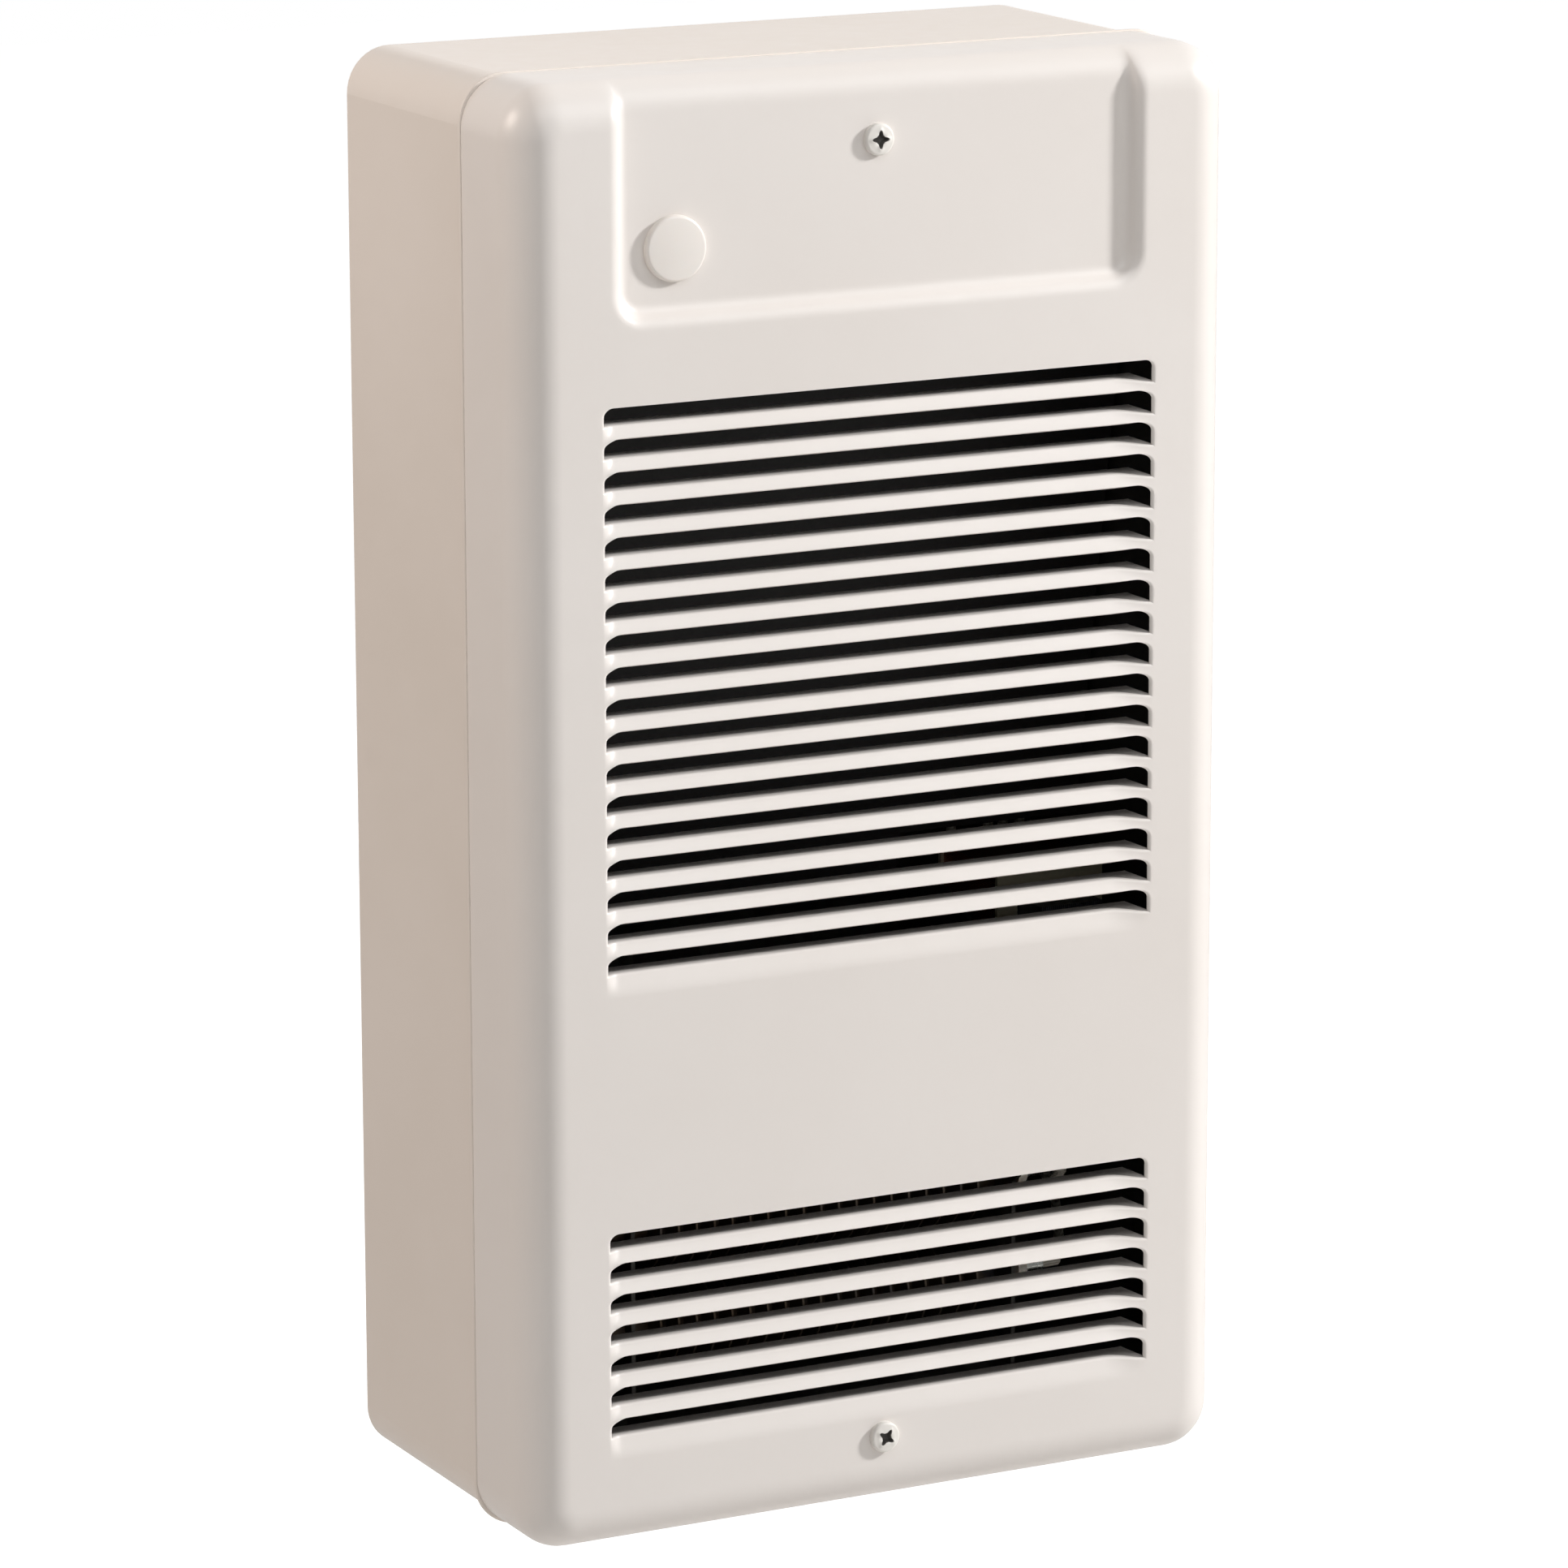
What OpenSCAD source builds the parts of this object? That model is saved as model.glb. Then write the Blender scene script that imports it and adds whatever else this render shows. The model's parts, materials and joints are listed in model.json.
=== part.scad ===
// Bathroom wall fan heater: a steel box on the wall, a pressed cover with two louvred grilles,
// and inside it a crossflow blower, a finned heating element, a thermostat and the wiring.
// The origin is the centre of the back face, on the wall. X is to the right, Z is up, and the
// front looks along -Y. "Depth" below is the distance from the wall, towards the front.

/* [Case] */
// Width across the cover
case_w = 218; // [210:1:232]
// Height of the cover
case_h = 403; // [398:1:420]
// Distance from the wall to the front face
case_d = 110; // [107:0.5:118]
// Distance from the wall to the line where the cover meets the box
joint_d = 76; // [66:1:82]
// Sheet thickness of the box and the cover
sheet = 1.0; // [0.8:0.1:1.2]
// Radius of the four corners, seen from the front
corner_r = 14; // [13:0.5:18]
// Radius where the front face turns into the sides
front_r = 12; // [9:0.5:12.5]
// How far the box reaches in under the cover
overlap = 8; // [5:0.5:10]
// Gap between the box and the cover all round
fit_gap = 0.3; // [0.2:0.05:0.5]

/* [Louvres] */
// Distance from one slot to the next
pitch = 8.8; // [8.6:0.1:9.0]
// Open height of a slot
slot_h = 5.2; // [4.6:0.1:5.6]
// Width of both grilles
grille_w = 167; // [150:1:176]
// Slots in the upper, intake grille
upper_count = 18; // [14:1:18]
// Slots in the lower, outlet grille
lower_count = 7; // [5:1:7]
// Distance of the upper grille's top edge below the cover's top edge
upper_drop = 85.7; // [82:0.1:89]
// Distance of the lower grille's lower edge above the cover's bottom edge
lower_rise = 28.9; // [28:0.1:33]
// How far a blade's bend lies behind the front face
blade_lean = 2; // [1.2:0.1:2.6]
// How far the ledge at the top of a blade reaches inwards
ledge_d = 6; // [4:0.2:6.6]

/* [Recess] */
// Width of the pressed recess at the front face
recess_w = 163; // [150:1:170]
// Height of the recess, from the cover's top edge down to the recess's lower edge
recess_h = 66.5; // [61.5:0.5:72.5]
// Depth of the recess
recess_d = 4; // [3:0.2:4.6]
// Width of the sloping wall round the recess
recess_wall = 7.5; // [6.5:0.1:8.5]
// Corner radius of the recess's flat floor
recess_r = 5; // [4:0.5:9]
// Share of the wall's two roundings that the one at the floor has
floor_share = 0.3; // [0.2:0.05:0.5]

/* [Cover fixings] */
// Distance of the cover screws from the cover's top and bottom edges
screw_inset = 20.5; // [18.5:0.5:22.5]
// Thread diameter of the cover screws
screw_d = 4; // [3.5:0.1:4.5]
// Head diameter of the cover screws
screw_head_d = 8; // [7.5:0.1:9]
// Head height of the cover screws
screw_head_h = 2.2; // [1.8:0.1:2.6]
// Width of the brackets that the cover screws go into
bracket_w = 30; // [20:1:36]
// Sheet thickness of the brackets
bracket_t = 1.2; // [1:0.1:1.5]

/* [Access plug] */
// Distance of the plug from the cover's left edge
plug_in = 48; // [46:0.5:51]
// Distance of the plug below the cover's top edge
plug_drop = 45.5; // [43.5:0.5:46.5]
// Diameter of the plug's head
plug_d = 18; // [16.5:0.5:19.5]
// How far the head stands out of the recess
plug_h = 3; // [2.4:0.1:3.4]
// Diameter of the plug's hollow stem
plug_stem_d = 12.4; // [11:0.1:13]
// Length of the stem behind the cover's sheet
plug_stem = 6; // [4:0.5:7]

/* [Blower] */
// Diameter of the crossflow wheel
wheel_d = 60; // [56:1:61]
// Height of the wheel's axis above the cover's bottom edge
wheel_rise = 113.5; // [112.5:0.5:114.5]
// Distance of the wheel's axis from the wall
wheel_y = 50; // [48:0.5:51]
// Room between the box's left wall and the left end plate
left_room = 7.7; // [6.5:0.1:10]
// Room for the motor between the right end plate and the box's right wall
motor_room = 59.5; // [58.5:0.1:66]
// Sheet thickness of the end plates
plate_t = 1.2; // [1:0.1:1.4]
// Sheet thickness of the scroll, the roof and the other folded sheets
fold_t = 1.0; // [0.8:0.1:1.1]
// Gap between the wheel and the housing where it is smallest
wheel_gap = 3; // [2.5:0.1:4]
// Blades round the wheel
blade_count = 30; // [24:2:36]
// Thickness of a blade
blade_t = 0.7; // [0.5:0.1:1]
// Thickness of the wheel's discs
disc_t = 0.8; // [0.6:0.1:1.2]
// Diameter of the wheel's and the motor's shafts
shaft_d = 5; // [4:0.5:6]
// Radial clearance of the shafts in their bushes
running_gap = 0.05; // [0.02:0.01:0.08]

/* [Motor] */
// Width of the lamination stack
stack_w = 60; // [56:1:62]
// Thickness of the lamination stack
stack_t = 20; // [16:1:22]
// Diameter of the rotor
rotor_d = 24; // [22:0.5:26]
// Gap between the rotor and the stack
air_gap = 0.4; // [0.3:0.05:0.6]
// Length of the posts between the stack and its bearing brackets
post_l = 10; // [9:0.5:11]
// Length of the rubber isolators
isolator_l = 6.8; // [5:0.1:7]
// Diameter of the motor's long screws
motor_screw_d = 4; // [3.5:0.1:4.5]

/* [Element] */
// Diameter of the element's sheathed tube
tube_d = 8; // [7:0.5:8.5]
// Distance between the element's two runs
run_gap = 28; // [26:0.5:29]
// Distance of the element behind the front face
element_back = 24; // [23:0.5:26]
// Height of the middle of the element above the cover's bottom edge
element_rise = 69.5; // [68.5:0.5:70.5]
// Diameter of the fins
fin_d = 24; // [20:1:25]
// Thickness of a fin
fin_t = 0.6; // [0.4:0.1:1]
// Distance from one fin to the next
fin_pitch = 5.5; // [5:0.5:8]

/* [Controls] */
// Width and height of the thermostat's body
thermostat_w = 32; // [28:1:34]
// Depth of the thermostat's body
thermostat_d = 26; // [22:1:30]
// Distance of the thermostat's face plate behind the cover's plug
thermostat_back = 14; // [12:0.5:20]
// Diameter of the thermostat's spindle
spindle_d = 6; // [5:0.5:6.5]
// Distance between the terminal block's poles
pole_gap = 10; // [8:0.5:11]
// Distance of the wiring shelf below the cover's top edge
shelf_drop = 75.5; // [74.5:0.5:77.5]

/* [Wall side] */
// Distance of the wall fixing holes from the cover's sides
wall_hole_side = 24; // [20:0.5:29]
// Distance of the wall fixing holes from the cover's top and bottom edges
wall_hole_end = 16.5; // [14.5:0.5:19.5]
// Diameter of the wall fixing holes
wall_hole_d = 6.5; // [5:0.5:7]
// Place of the supply cable's bushing to the right of the centre
inlet_x = 5; // [-5:1:6]
// Distance of the supply cable's bushing below the cover's top edge
inlet_drop = 36.5; // [31.5:0.5:41.5]
// Diameter of the hole in the supply cable's bushing
inlet_d = 14; // [10:0.5:16]

/* [Hidden] */
$fn = 48;

// Case, and the heights of what is placed from its edges
cover_in_d = case_d - sheet;
top_z = case_h / 2;
upper_top = top_z - upper_drop;
lower_top = lower_rise + lower_count * pitch - top_z;
recess_foot = top_z - recess_h;
screw_z = top_z - screw_inset;
plug_x = plug_in - case_w / 2;
plug_z = top_z - plug_drop;
wheel_z = wheel_rise - top_z;
element_z = element_rise - top_z;
shelf_z = top_z - shelf_drop;
wall_hole_x = case_w - 2 * wall_hole_side;
wall_hole_z = case_h - 2 * wall_hole_end;
inlet_z = top_z - inlet_drop;
box_w = case_w - 2 * (sheet + fit_gap);
box_h = case_h - 2 * (sheet + fit_gap);
box_r = corner_r - sheet - fit_gap;
box_d = joint_d + overlap;
in_w = box_w - 2 * sheet;
in_h = box_h - 2 * sheet;
floor_d = case_d - recess_d;

// Recess: its wall is an S of two equal arcs, hollow at the floor and rounded at the front
wall_turn = 2 * atan(recess_d / recess_wall);
wall_arcs = recess_wall / sin(wall_turn);
recess_floor_w = recess_w - 2 * recess_wall;
arc_steps = 6;

// Louvres
function window_bottom(top, count) = top - count * pitch;

// Fixings
tab_gap = 0.3;
hole_gap = 0.2;
screw_len = 12;
upper_seat_d = floor_d - sheet - tab_gap;
lower_seat_d = case_d - sheet - tab_gap;
tab_half = 7;
tab_clear = 1.4;
upper_tip_z = screw_z - tab_half;
lower_tip_z = window_bottom(lower_top, lower_count) - tab_clear;
drive_depth = 1.4;
thread_gap = 0.05;
rivet_x = 9;
rivet_r = 1.6;
rivet_head_r = 2.6;
rivet_y = box_d - 6;
bracket_foot = 22;
bracket_drop = 9;

// Blower
wheel_r = wheel_d / 2;
blade_r = 5.8;
disc_count = 5;
scroll_start = 120;
scroll_end = 240;
scroll_start_r = wheel_r + wheel_gap + fold_t / 2;
scroll_grow = 0.11;
function scroll_r(a) = scroll_start_r + scroll_grow * (a - scroll_start);
function around_wheel(r, a) = [wheel_y + r * cos(a), wheel_z + r * sin(a)];
scroll_leave = around_wheel(scroll_r(scroll_end), scroll_end);
floor_end_d = case_d - 11;
floor_slope = tan(scroll_end - 270);
function floor_line(d) = scroll_leave[1] + (d - scroll_leave[0]) * floor_slope;
scroll_rise = 39.5;
scroll_shelf_z = wheel_z + scroll_rise;
duct_left = left_room - in_w / 2;
duct_right = in_w / 2 - motor_room - plate_t;
duct_in_l = duct_left + plate_t;
wheel_left = duct_in_l + 3;
wheel_right = duct_right - 4.5;
stub_end = duct_left - 4.2;
cup_r = 9;
bush_r = 5;
roof_front_d = case_d - 3;
roof_front_z = lower_top + 2.5;
plate_over = 48;
plate_under = 52;
plate_margin = 5;
plate_step = 37;
plate_top_z = wheel_z + plate_over;
plate_foot_z = floor_line(floor_end_d) - plate_margin;

// Motor: from the right end plate outwards
iso_x = duct_right + plate_t;
front_bar_x = iso_x + isolator_l;
bar_t = 2;
front_stack_x = front_bar_x + bar_t + post_l;
rear_stack_x = front_stack_x + stack_t;
rear_bar_x = rear_stack_x + post_l;
motor_end_x = rear_bar_x + bar_t;
motor_screw_at = stack_w / 2 - 6;
pole_foot = 16;
stack_h = 60;
limb_h = 13;
coil_gap = 0.5;
coil_wall = 10;
coil_over = 7;
bobbin_t = 1.5;
coil_half = stack_w / 2 - 12 - coil_gap;
limb_top = wheel_z - pole_foot + stack_h;
limb_foot = limb_top - limb_h;
boss_r = 8;
shaft_left = wheel_right - 17;
shaft_right = motor_end_x + 1.5;

// Element
element_y = case_d - element_back;
run_z = [element_z + run_gap / 2, element_z - run_gap / 2];
bend_x = duct_in_l + 4 + tube_d / 2 + run_gap / 2;
hanger_x = bend_x + 6;
hanger_t = 1.2;
element_end_x = duct_right + 8;
fin_first = hanger_x + 7;
fin_last = duct_right - 7;
seat_gap = 0.05;
ferrule_t = 2.5;
pin_r = 2;
insulator_l = 3;
pin_l = 9;

// Cutout
cutout_y = wheel_y + 14;
cutout_z = wheel_z - 40;
cutout_r = 8;
cutout_l = 10;
ear_at = 11;
ear_r = 1.5;
tag_w = 6.3;
tag_t = 0.8;
tag_l = 8;

// Wiring shelf and air guide
shelf_w = in_w - 6;
shelf_front_d = case_d - 18;
guide_top_d = wheel_y + 8;
guide_back = 20;
guide_foot_d = wheel_y - guide_back;
grommet_x = shelf_w / 2 - 12;
grommet_y = 24;
grommet_r = 8;
grommet_wall = 2;

// Thermostat
face_d = floor_d - sheet - plug_stem - thermostat_back - plate_t;
body_back_d = face_d - thermostat_d;
neck_d = 9.6;
neck_l = 8;
spindle_front_d = floor_d - sheet - plug_stem - 3;
bracket_side = 2;
foot_w = 14;

// Terminal block and the other small parts on the back panel
block_x = 54;
block_half = 2 * pole_gap + 1;
block_rib_h = 4;
lug_l = 8;
lug_t = 3;
entry_r = 2.2;
entry_l = 3;
block_drop = 29.5;
block_z = top_z - block_drop;
block_h = 20;
block_d = 14;
earth_x = 80;
earth_drop = 51.5;
earth_z = top_z - earth_drop;
bushing_r = 11;
knockout_x = -28;
knockout_drop = 23.5;
knockout_z = top_z - knockout_drop;
screw_r = 1.9;
screw_cap_r = 3.4;
screw_cap_h = 2;

// Where the inner plates are screwed to the back panel: [x, z, height of the seat]
scroll_screw_in = 20;
shelf_screw_in = 20;
fixings = concat(
    [for (z = [wheel_z + 18, wheel_z - 37]) [duct_in_l + 6, z, plate_t]],
    [for (z = [wheel_z + 18, wheel_z - 37]) [duct_right + plate_t + 6, z, plate_t]],
    [for (x = [duct_in_l + scroll_screw_in, duct_right - scroll_screw_in]) [x, scroll_shelf_z + 10, fold_t]],
    [for (s = [-1, 1]) [s * (shelf_w / 2 - shelf_screw_in), shelf_z - 6, fold_t]],
    [for (z = [plug_z - 8, plug_z + 8]) [plug_x - thermostat_w / 2 + foot_w / 2, z, plate_t]],
    [for (s = [-1, 1]) [block_x + s * (block_half + lug_l / 2), block_z, lug_t]]);

// Routes of the leads, chosen by hand: [x, depth, height]. Block to thermostat, thermostat to
// cutout, cutout to element, block to element, block to motor and back.
lead_r = 1.5;
lead_steps = 2;
lead_routes = [
    [[39, 6, 165], [39, 6, 157], [34, 11, 144], [16, 22, 137], [-24, 48, 134], [-48, 66, 129.6],
        [-53, 71.2, 130.4], [-53, 71.2, 133]],
    [[-69, 71.2, 133], [-69, 71.2, 130.6], [-62, 64, 129], [-10, 34, 129], [60, 20, 129.4],
        [84, 20, 131], [90, 22, 126], [91, 20, 90], [92, 14, -20], [86, 9, -100], [80, 36, -114],
        [68, 64, -124], [65.2, 64, -124]],
    [[65.2, 64, -132], [68, 64, -132], [72, 72, -128], [71, 84, -120], [67, 86, -118],
        [63, 86, -118]],
    [[49, 6, 165], [49, 6, 157], [56, 12, 143], [76, 20, 137], [91, 22, 135], [94.6, 22, 126],
        [95.6, 20, 90], [97, 14, -20], [95, 9, -110], [88, 50, -138], [68, 86, -146],
        [63, 86, -146]],
    [[59, 6, 165], [59, 6, 157], [66, 16, 147], [80, 26, 140], [88, 27, 135], [90, 26.6, 126],
        [90, 25, 90], [84, 20, 0], [72, 17, -30], [70, 22, -39], [70, 26.5, -39]],
    [[69, 6, 165], [69, 6, 158], [76, 16, 152], [88, 26, 144], [94, 27, 136], [94.6, 26.6, 126],
        [95, 25, 90], [92, 20, 0], [84, 17, -30], [82, 22, -39], [82, 26.5, -39]]];

// ---- helpers ----

// Extrudes an outline drawn as (depth, height) along X
module along_x(x0, x1) {
    translate([x0, 0, 0]) rotate([90, 0, 90]) linear_extrude(x1 - x0) mirror([1, 0]) children();
}

// Extrudes an outline drawn as (x, height) from one depth to another
module in_depth(d0, d1) {
    translate([0, -d0, 0]) rotate([90, 0, 0]) linear_extrude(d1 - d0) children();
}

// A round bar along the depth
module bar_y(x, z, d0, d1, r) {
    translate([x, -d0, z]) rotate([90, 0, 0]) cylinder(h = d1 - d0, r = r);
}

// A round bar along X
module bar_x(x0, x1, d, z, r) {
    translate([x0, -d, z]) rotate([0, 90, 0]) cylinder(h = x1 - x0, r = r);
}

// A rectangular piece between two corners given as [x, depth, height]
module slab(a, b) {
    translate([a[0], -b[1], a[2]]) cube([b[0] - a[0], b[1] - a[1], b[2] - a[2]]);
}

// Carries a profile, drawn as (outwards, depth), round a rectangle with turned corners
module edge_ring(cx, cz) {
    for (k = [0:3]) {
        across = k % 2 == 0 ? cx : cz;
        along = k % 2 == 0 ? cz : cx;
        rotate([0, -90 * k, 0]) {
            translate([across, 0, along]) {
                rotate([180, 0, 0]) linear_extrude(2 * along) children();
                rotate([90, 0, 0]) rotate_extrude(angle = 90) children();
            }
        }
    }
}

// A flat block with turned corners
module block(w, h, r, d0, d1) {
    edge_ring(w / 2 - r, h / 2 - r) translate([0, d0]) square([r, d1 - d0]);
    slab([r - w / 2, d0, r - h / 2], [w / 2 - r, d1, h / 2 - r]);
}

// Points along an arc about a centre
function arc(c, r, a0, a1, steps) =
    [for (i = [0:steps]) let (a = a0 + (a1 - a0) * i / steps) [c[0] + r * cos(a), c[1] + r * sin(a)]];

// Unit normal to the left of the step from a to b
function left_of(a, b) = let (d = b - a, l = norm(d)) [-d[1] / l, d[0] / l];

// Point k of a path moved sideways by s, mitred at its corners
function shifted(p, k, s) =
    let (n = len(p) - 1,
        n0 = left_of(p[max(k - 1, 0)], p[max(k, 1)]),
        n1 = left_of(p[min(k, n - 1)], p[min(k + 1, n)]),
        m = n0 + n1)
    p[k] + m * (2 * s / (m * m));

// Outline of a folded sheet of thickness t that follows a path
function folded(p, t) = concat(
    [for (k = [0:len(p) - 1]) shifted(p, k, t / 2)],
    [for (k = [len(p) - 1:-1:0]) shifted(p, k, -t / 2)]);

// ---- case ----

// Half section of the cover's edge, outwards from the corner's axis, at a given sheet depth
module cover_edge(inset) {
    side = corner_r - front_r;
    translate([0, joint_d - (inset > 0 ? 1 : 0)])
        square([corner_r - inset, case_d - front_r - joint_d + (inset > 0 ? 1 : 0)]);
    translate([0, case_d - front_r]) square([side, front_r - inset]);
    translate([side, case_d - front_r]) intersection() {
        circle(front_r - inset);
        square(front_r);
    }
}

// The solid body of the cover, or of its hollow
module cover_form(inset) {
    cx = case_w / 2 - corner_r;
    cz = case_h / 2 - corner_r;
    edge_ring(cx, cz) cover_edge(inset);
    slab([-cx, joint_d - (inset > 0 ? 1 : 0), -cz], [cx, case_d - inset, cz]);
}

// The S of the recess's wall, as (outwards from the floor's edge, depth), t behind the face
function recess_wall_line(t) =
    let (r_floor = wall_arcs * floor_share, r_front = wall_arcs - r_floor)
    concat(
        arc([0, floor_d + r_floor], r_floor + t, -90, wall_turn - 90, arc_steps),
        [for (k = [arc_steps:-1:0])
            let (a = 90 + wall_turn * k / arc_steps, r = r_front - t)
            [recess_wall + r * cos(a), case_d - r_front + r * sin(a)]]);

// The space in front of the recess, or with t = sheet the space in front of its back
module recess_form(t) {
    line = recess_wall_line(t);
    front = case_d + 2;
    r0 = recess_r;
    cx = recess_floor_w / 2 - r0;
    cz = recess_foot + recess_wall + r0;
    top = case_h / 2 + 2;
    section = concat([[-r0, floor_d - t]], line, [[recess_wall, front], [-r0, front]]);
    for (s = [0, 1]) {
        rotate([0, 180 * s, 0]) translate([cx + r0, 0, s == 0 ? top : -cz])
            rotate([180, 0, 0]) linear_extrude(top - cz) polygon(section);
    }
    rotate([0, 90, 0]) translate([r0 - cz, 0, cx])
        rotate([180, 0, 0]) linear_extrude(2 * cx) polygon(section);
    for (k = [0, 1])
        translate([cx * (1 - 2 * k), 0, cz]) rotate([0, 90 + 90 * k, 0]) rotate([90, 0, 0])
            rotate_extrude(angle = 90) translate([r0, 0]) polygon(section);
    slab([-cx, floor_d - t, cz], [cx, front, top]);
}

// One blade: a leaning face, a bend and a ledge that runs inwards. z is the top of its slot.
module blade(z) {
    foot = z - pitch;
    bend = z - slot_h;
    face = [[case_d, foot], [case_d - blade_lean, bend], [case_d - blade_lean - ledge_d, bend]];
    outline = concat(face, [face[2] - [0, sheet], [case_d - blade_lean - sheet, bend - sheet],
        [cover_in_d, foot]]);
    along_x(-grille_w / 2, grille_w / 2) polygon(outline);
}

module grille_window(top, count) {
    slab([-grille_w / 2, joint_d, window_bottom(top, count)], [grille_w / 2, case_d + 2, top]);
}

module back_box() {
    color("gainsboro") difference() {
        block(box_w, box_h, box_r, 0, box_d);
        block(in_w, in_h, box_r - sheet, sheet, box_d + 1);
        for (x = [-1, 1], z = [-1, 1])
            bar_y(x * wall_hole_x / 2, z * wall_hole_z / 2, -1, sheet + 1, wall_hole_d / 2);
        bar_y(inlet_x, inlet_z, -1, sheet + 1, bushing_r);
        for (f = fixings) bar_y(f[0], f[1], -1, sheet + 1, screw_r + thread_gap);
        bar_y(earth_x, earth_z, -1, sheet + 1, screw_r + thread_gap);
        knockout();
        for (x = [-1, 1], z = [-1, 1]) rivet_bar(x, z, rivet_r + thread_gap, 1);
    }
}

// The cut round a knockout, which leaves it held by two bridges
module knockout() {
    difference() {
        bar_y(knockout_x, knockout_z, -1, sheet + 1, bushing_r);
        bar_y(knockout_x, knockout_z, -2, sheet + 2, bushing_r - 0.6);
        slab([knockout_x - 20, -2, knockout_z - 2], [knockout_x + 20, sheet + 2, knockout_z + 2]);
    }
}

// A rivet's shank, or the hole for it, through a cover bracket and the box's top or bottom wall
module rivet_bar(x, z, r, extra) {
    translate([x * rivet_x, -rivet_y, z * (in_h / 2 - bracket_t - extra)]) rotate([z < 0 ? 180 : 0, 0, 0])
        cylinder(h = bracket_t + sheet + 2 * extra, r = r);
}

module front_cover() {
    color("whitesmoke") {
        difference() {
            cover_form(0);
            difference() {
                cover_form(sheet);
                recess_form(sheet);
            }
            recess_form(0);
            grille_window(upper_top, upper_count);
            grille_window(lower_top, lower_count);
            bar_y(0, screw_z, joint_d, case_d + 1, screw_d / 2 + hole_gap);
            bar_y(0, -screw_z, joint_d, case_d + 1, screw_d / 2 + hole_gap);
            bar_y(plug_x, plug_z, joint_d, case_d + 1, plug_stem_d / 2 + hole_gap);
        }
        for (i = [0:upper_count - 1]) blade(upper_top - i * pitch);
        for (i = [0:lower_count - 1]) blade(lower_top - i * pitch);
    }
}

// A cross-drive screw along the depth, its head seated at depth d
module cross_screw(x, z, d, len, r, head_r, head_h) {
    difference() {
        union() {
            bar_y(x, z, d - len, d, r);
            bar_y(x, z, d, d + head_h * 0.6, head_r);
            translate([x, -(d + head_h * 0.6), z]) rotate([90, 0, 0])
                cylinder(h = head_h * 0.4, r1 = head_r, r2 = head_r * 0.8);
        }
        for (a = [0, 90])
            translate([x, -(d + head_h), z]) rotate([0, a + 45, 0])
                cube([head_r * 1.1, 2 * drive_depth, head_r * 0.38], center = true);
    }
}

module cover_screws() {
    color("whitesmoke") {
        cross_screw(0, screw_z, floor_d, screw_len, screw_d / 2, screw_head_d / 2, screw_head_h);
        cross_screw(0, -screw_z, case_d, screw_len, screw_d / 2, screw_head_d / 2, screw_head_h);
    }
}

module access_plug() {
    r = plug_d / 2;
    stem_r = plug_stem_d / 2;
    color("white") difference() {
        union() {
            bar_y(plug_x, plug_z, floor_d, floor_d + plug_h - 1, r);
            translate([plug_x, -(floor_d + plug_h - 1), plug_z]) rotate([90, 0, 0])
                cylinder(h = 1, r1 = r, r2 = r - 0.9);
            bar_y(plug_x, plug_z, floor_d - sheet - plug_stem, floor_d, stem_r);
        }
        bar_y(plug_x, plug_z, floor_d - sheet - plug_stem - 1, floor_d + plug_h - 1.6, stem_r - 1.2);
    }
}

// ---- cover brackets ----

// Folded strip from the box's wall to the tapped tab behind the cover; side is 1 up, -1 down,
// and the tab ends at height tip_z
module cover_bracket(side, seat_d, tip_z) {
    z0 = in_h / 2 - bracket_t / 2;
    z1 = z0 - bracket_drop;
    drop_d = box_d - bracket_t / 2 - 1;
    path = [[box_d - bracket_foot, side * z0], [drop_d, side * z0], [drop_d, side * z1],
        [seat_d - bracket_t / 2, side * z1], [seat_d - bracket_t / 2, tip_z]];
    difference() {
        along_x(-bracket_w / 2, bracket_w / 2) polygon(folded(path, bracket_t));
        bar_y(0, side * screw_z, seat_d - 5, seat_d + 5, screw_d / 2 + thread_gap);
        for (x = [-1, 1]) rivet_bar(x, side, rivet_r + thread_gap, 1);
    }
}

module upper_cover_bracket() {
    color("silver") cover_bracket(1, upper_seat_d, upper_tip_z);
}

module lower_cover_bracket() {
    color("silver") cover_bracket(-1, lower_seat_d, lower_tip_z);
}

module bracket_rivets() {
    color("gray") for (x = [-1, 1], z = [-1, 1]) {
        rivet_bar(x, z, rivet_r, 0);
        translate([x * rivet_x, -rivet_y, z * (in_h / 2 - bracket_t)]) rotate([z < 0 ? 0 : 180, 0, 0])
            cylinder(h = 1, r = rivet_head_r);
    }
}

// ---- blower housing ----

scroll_path = concat(
    [[sheet + fold_t / 2, scroll_shelf_z + 20], [sheet + fold_t / 2, scroll_shelf_z],
        [guide_foot_d - 5, scroll_shelf_z]],
    [for (a = [scroll_start:10:scroll_end]) around_wheel(scroll_r(a), a)],
    [[floor_end_d, floor_line(floor_end_d)], [floor_end_d, plate_foot_z]]);

module blower_scroll() {
    color("silver") difference() {
        along_x(duct_in_l, duct_right) polygon(folded(scroll_path, fold_t));
        fixing_holes();
    }
}

// Clearance for the fixing screws through the plates that they hold
module fixing_holes() {
    for (f = fixings) bar_y(f[0], f[1], sheet - 0.1, sheet + f[2] + 0.1, screw_r + thread_gap);
}

module duct_roof() {
    r = wheel_r + wheel_gap + fold_t / 2;
    path = [around_wheel(r, 8), around_wheel(r, -12), [roof_front_d, roof_front_z],
        [roof_front_d, roof_front_z + 9]];
    color("silver") along_x(duct_in_l, duct_right) polygon(folded(path, fold_t));
}

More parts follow.
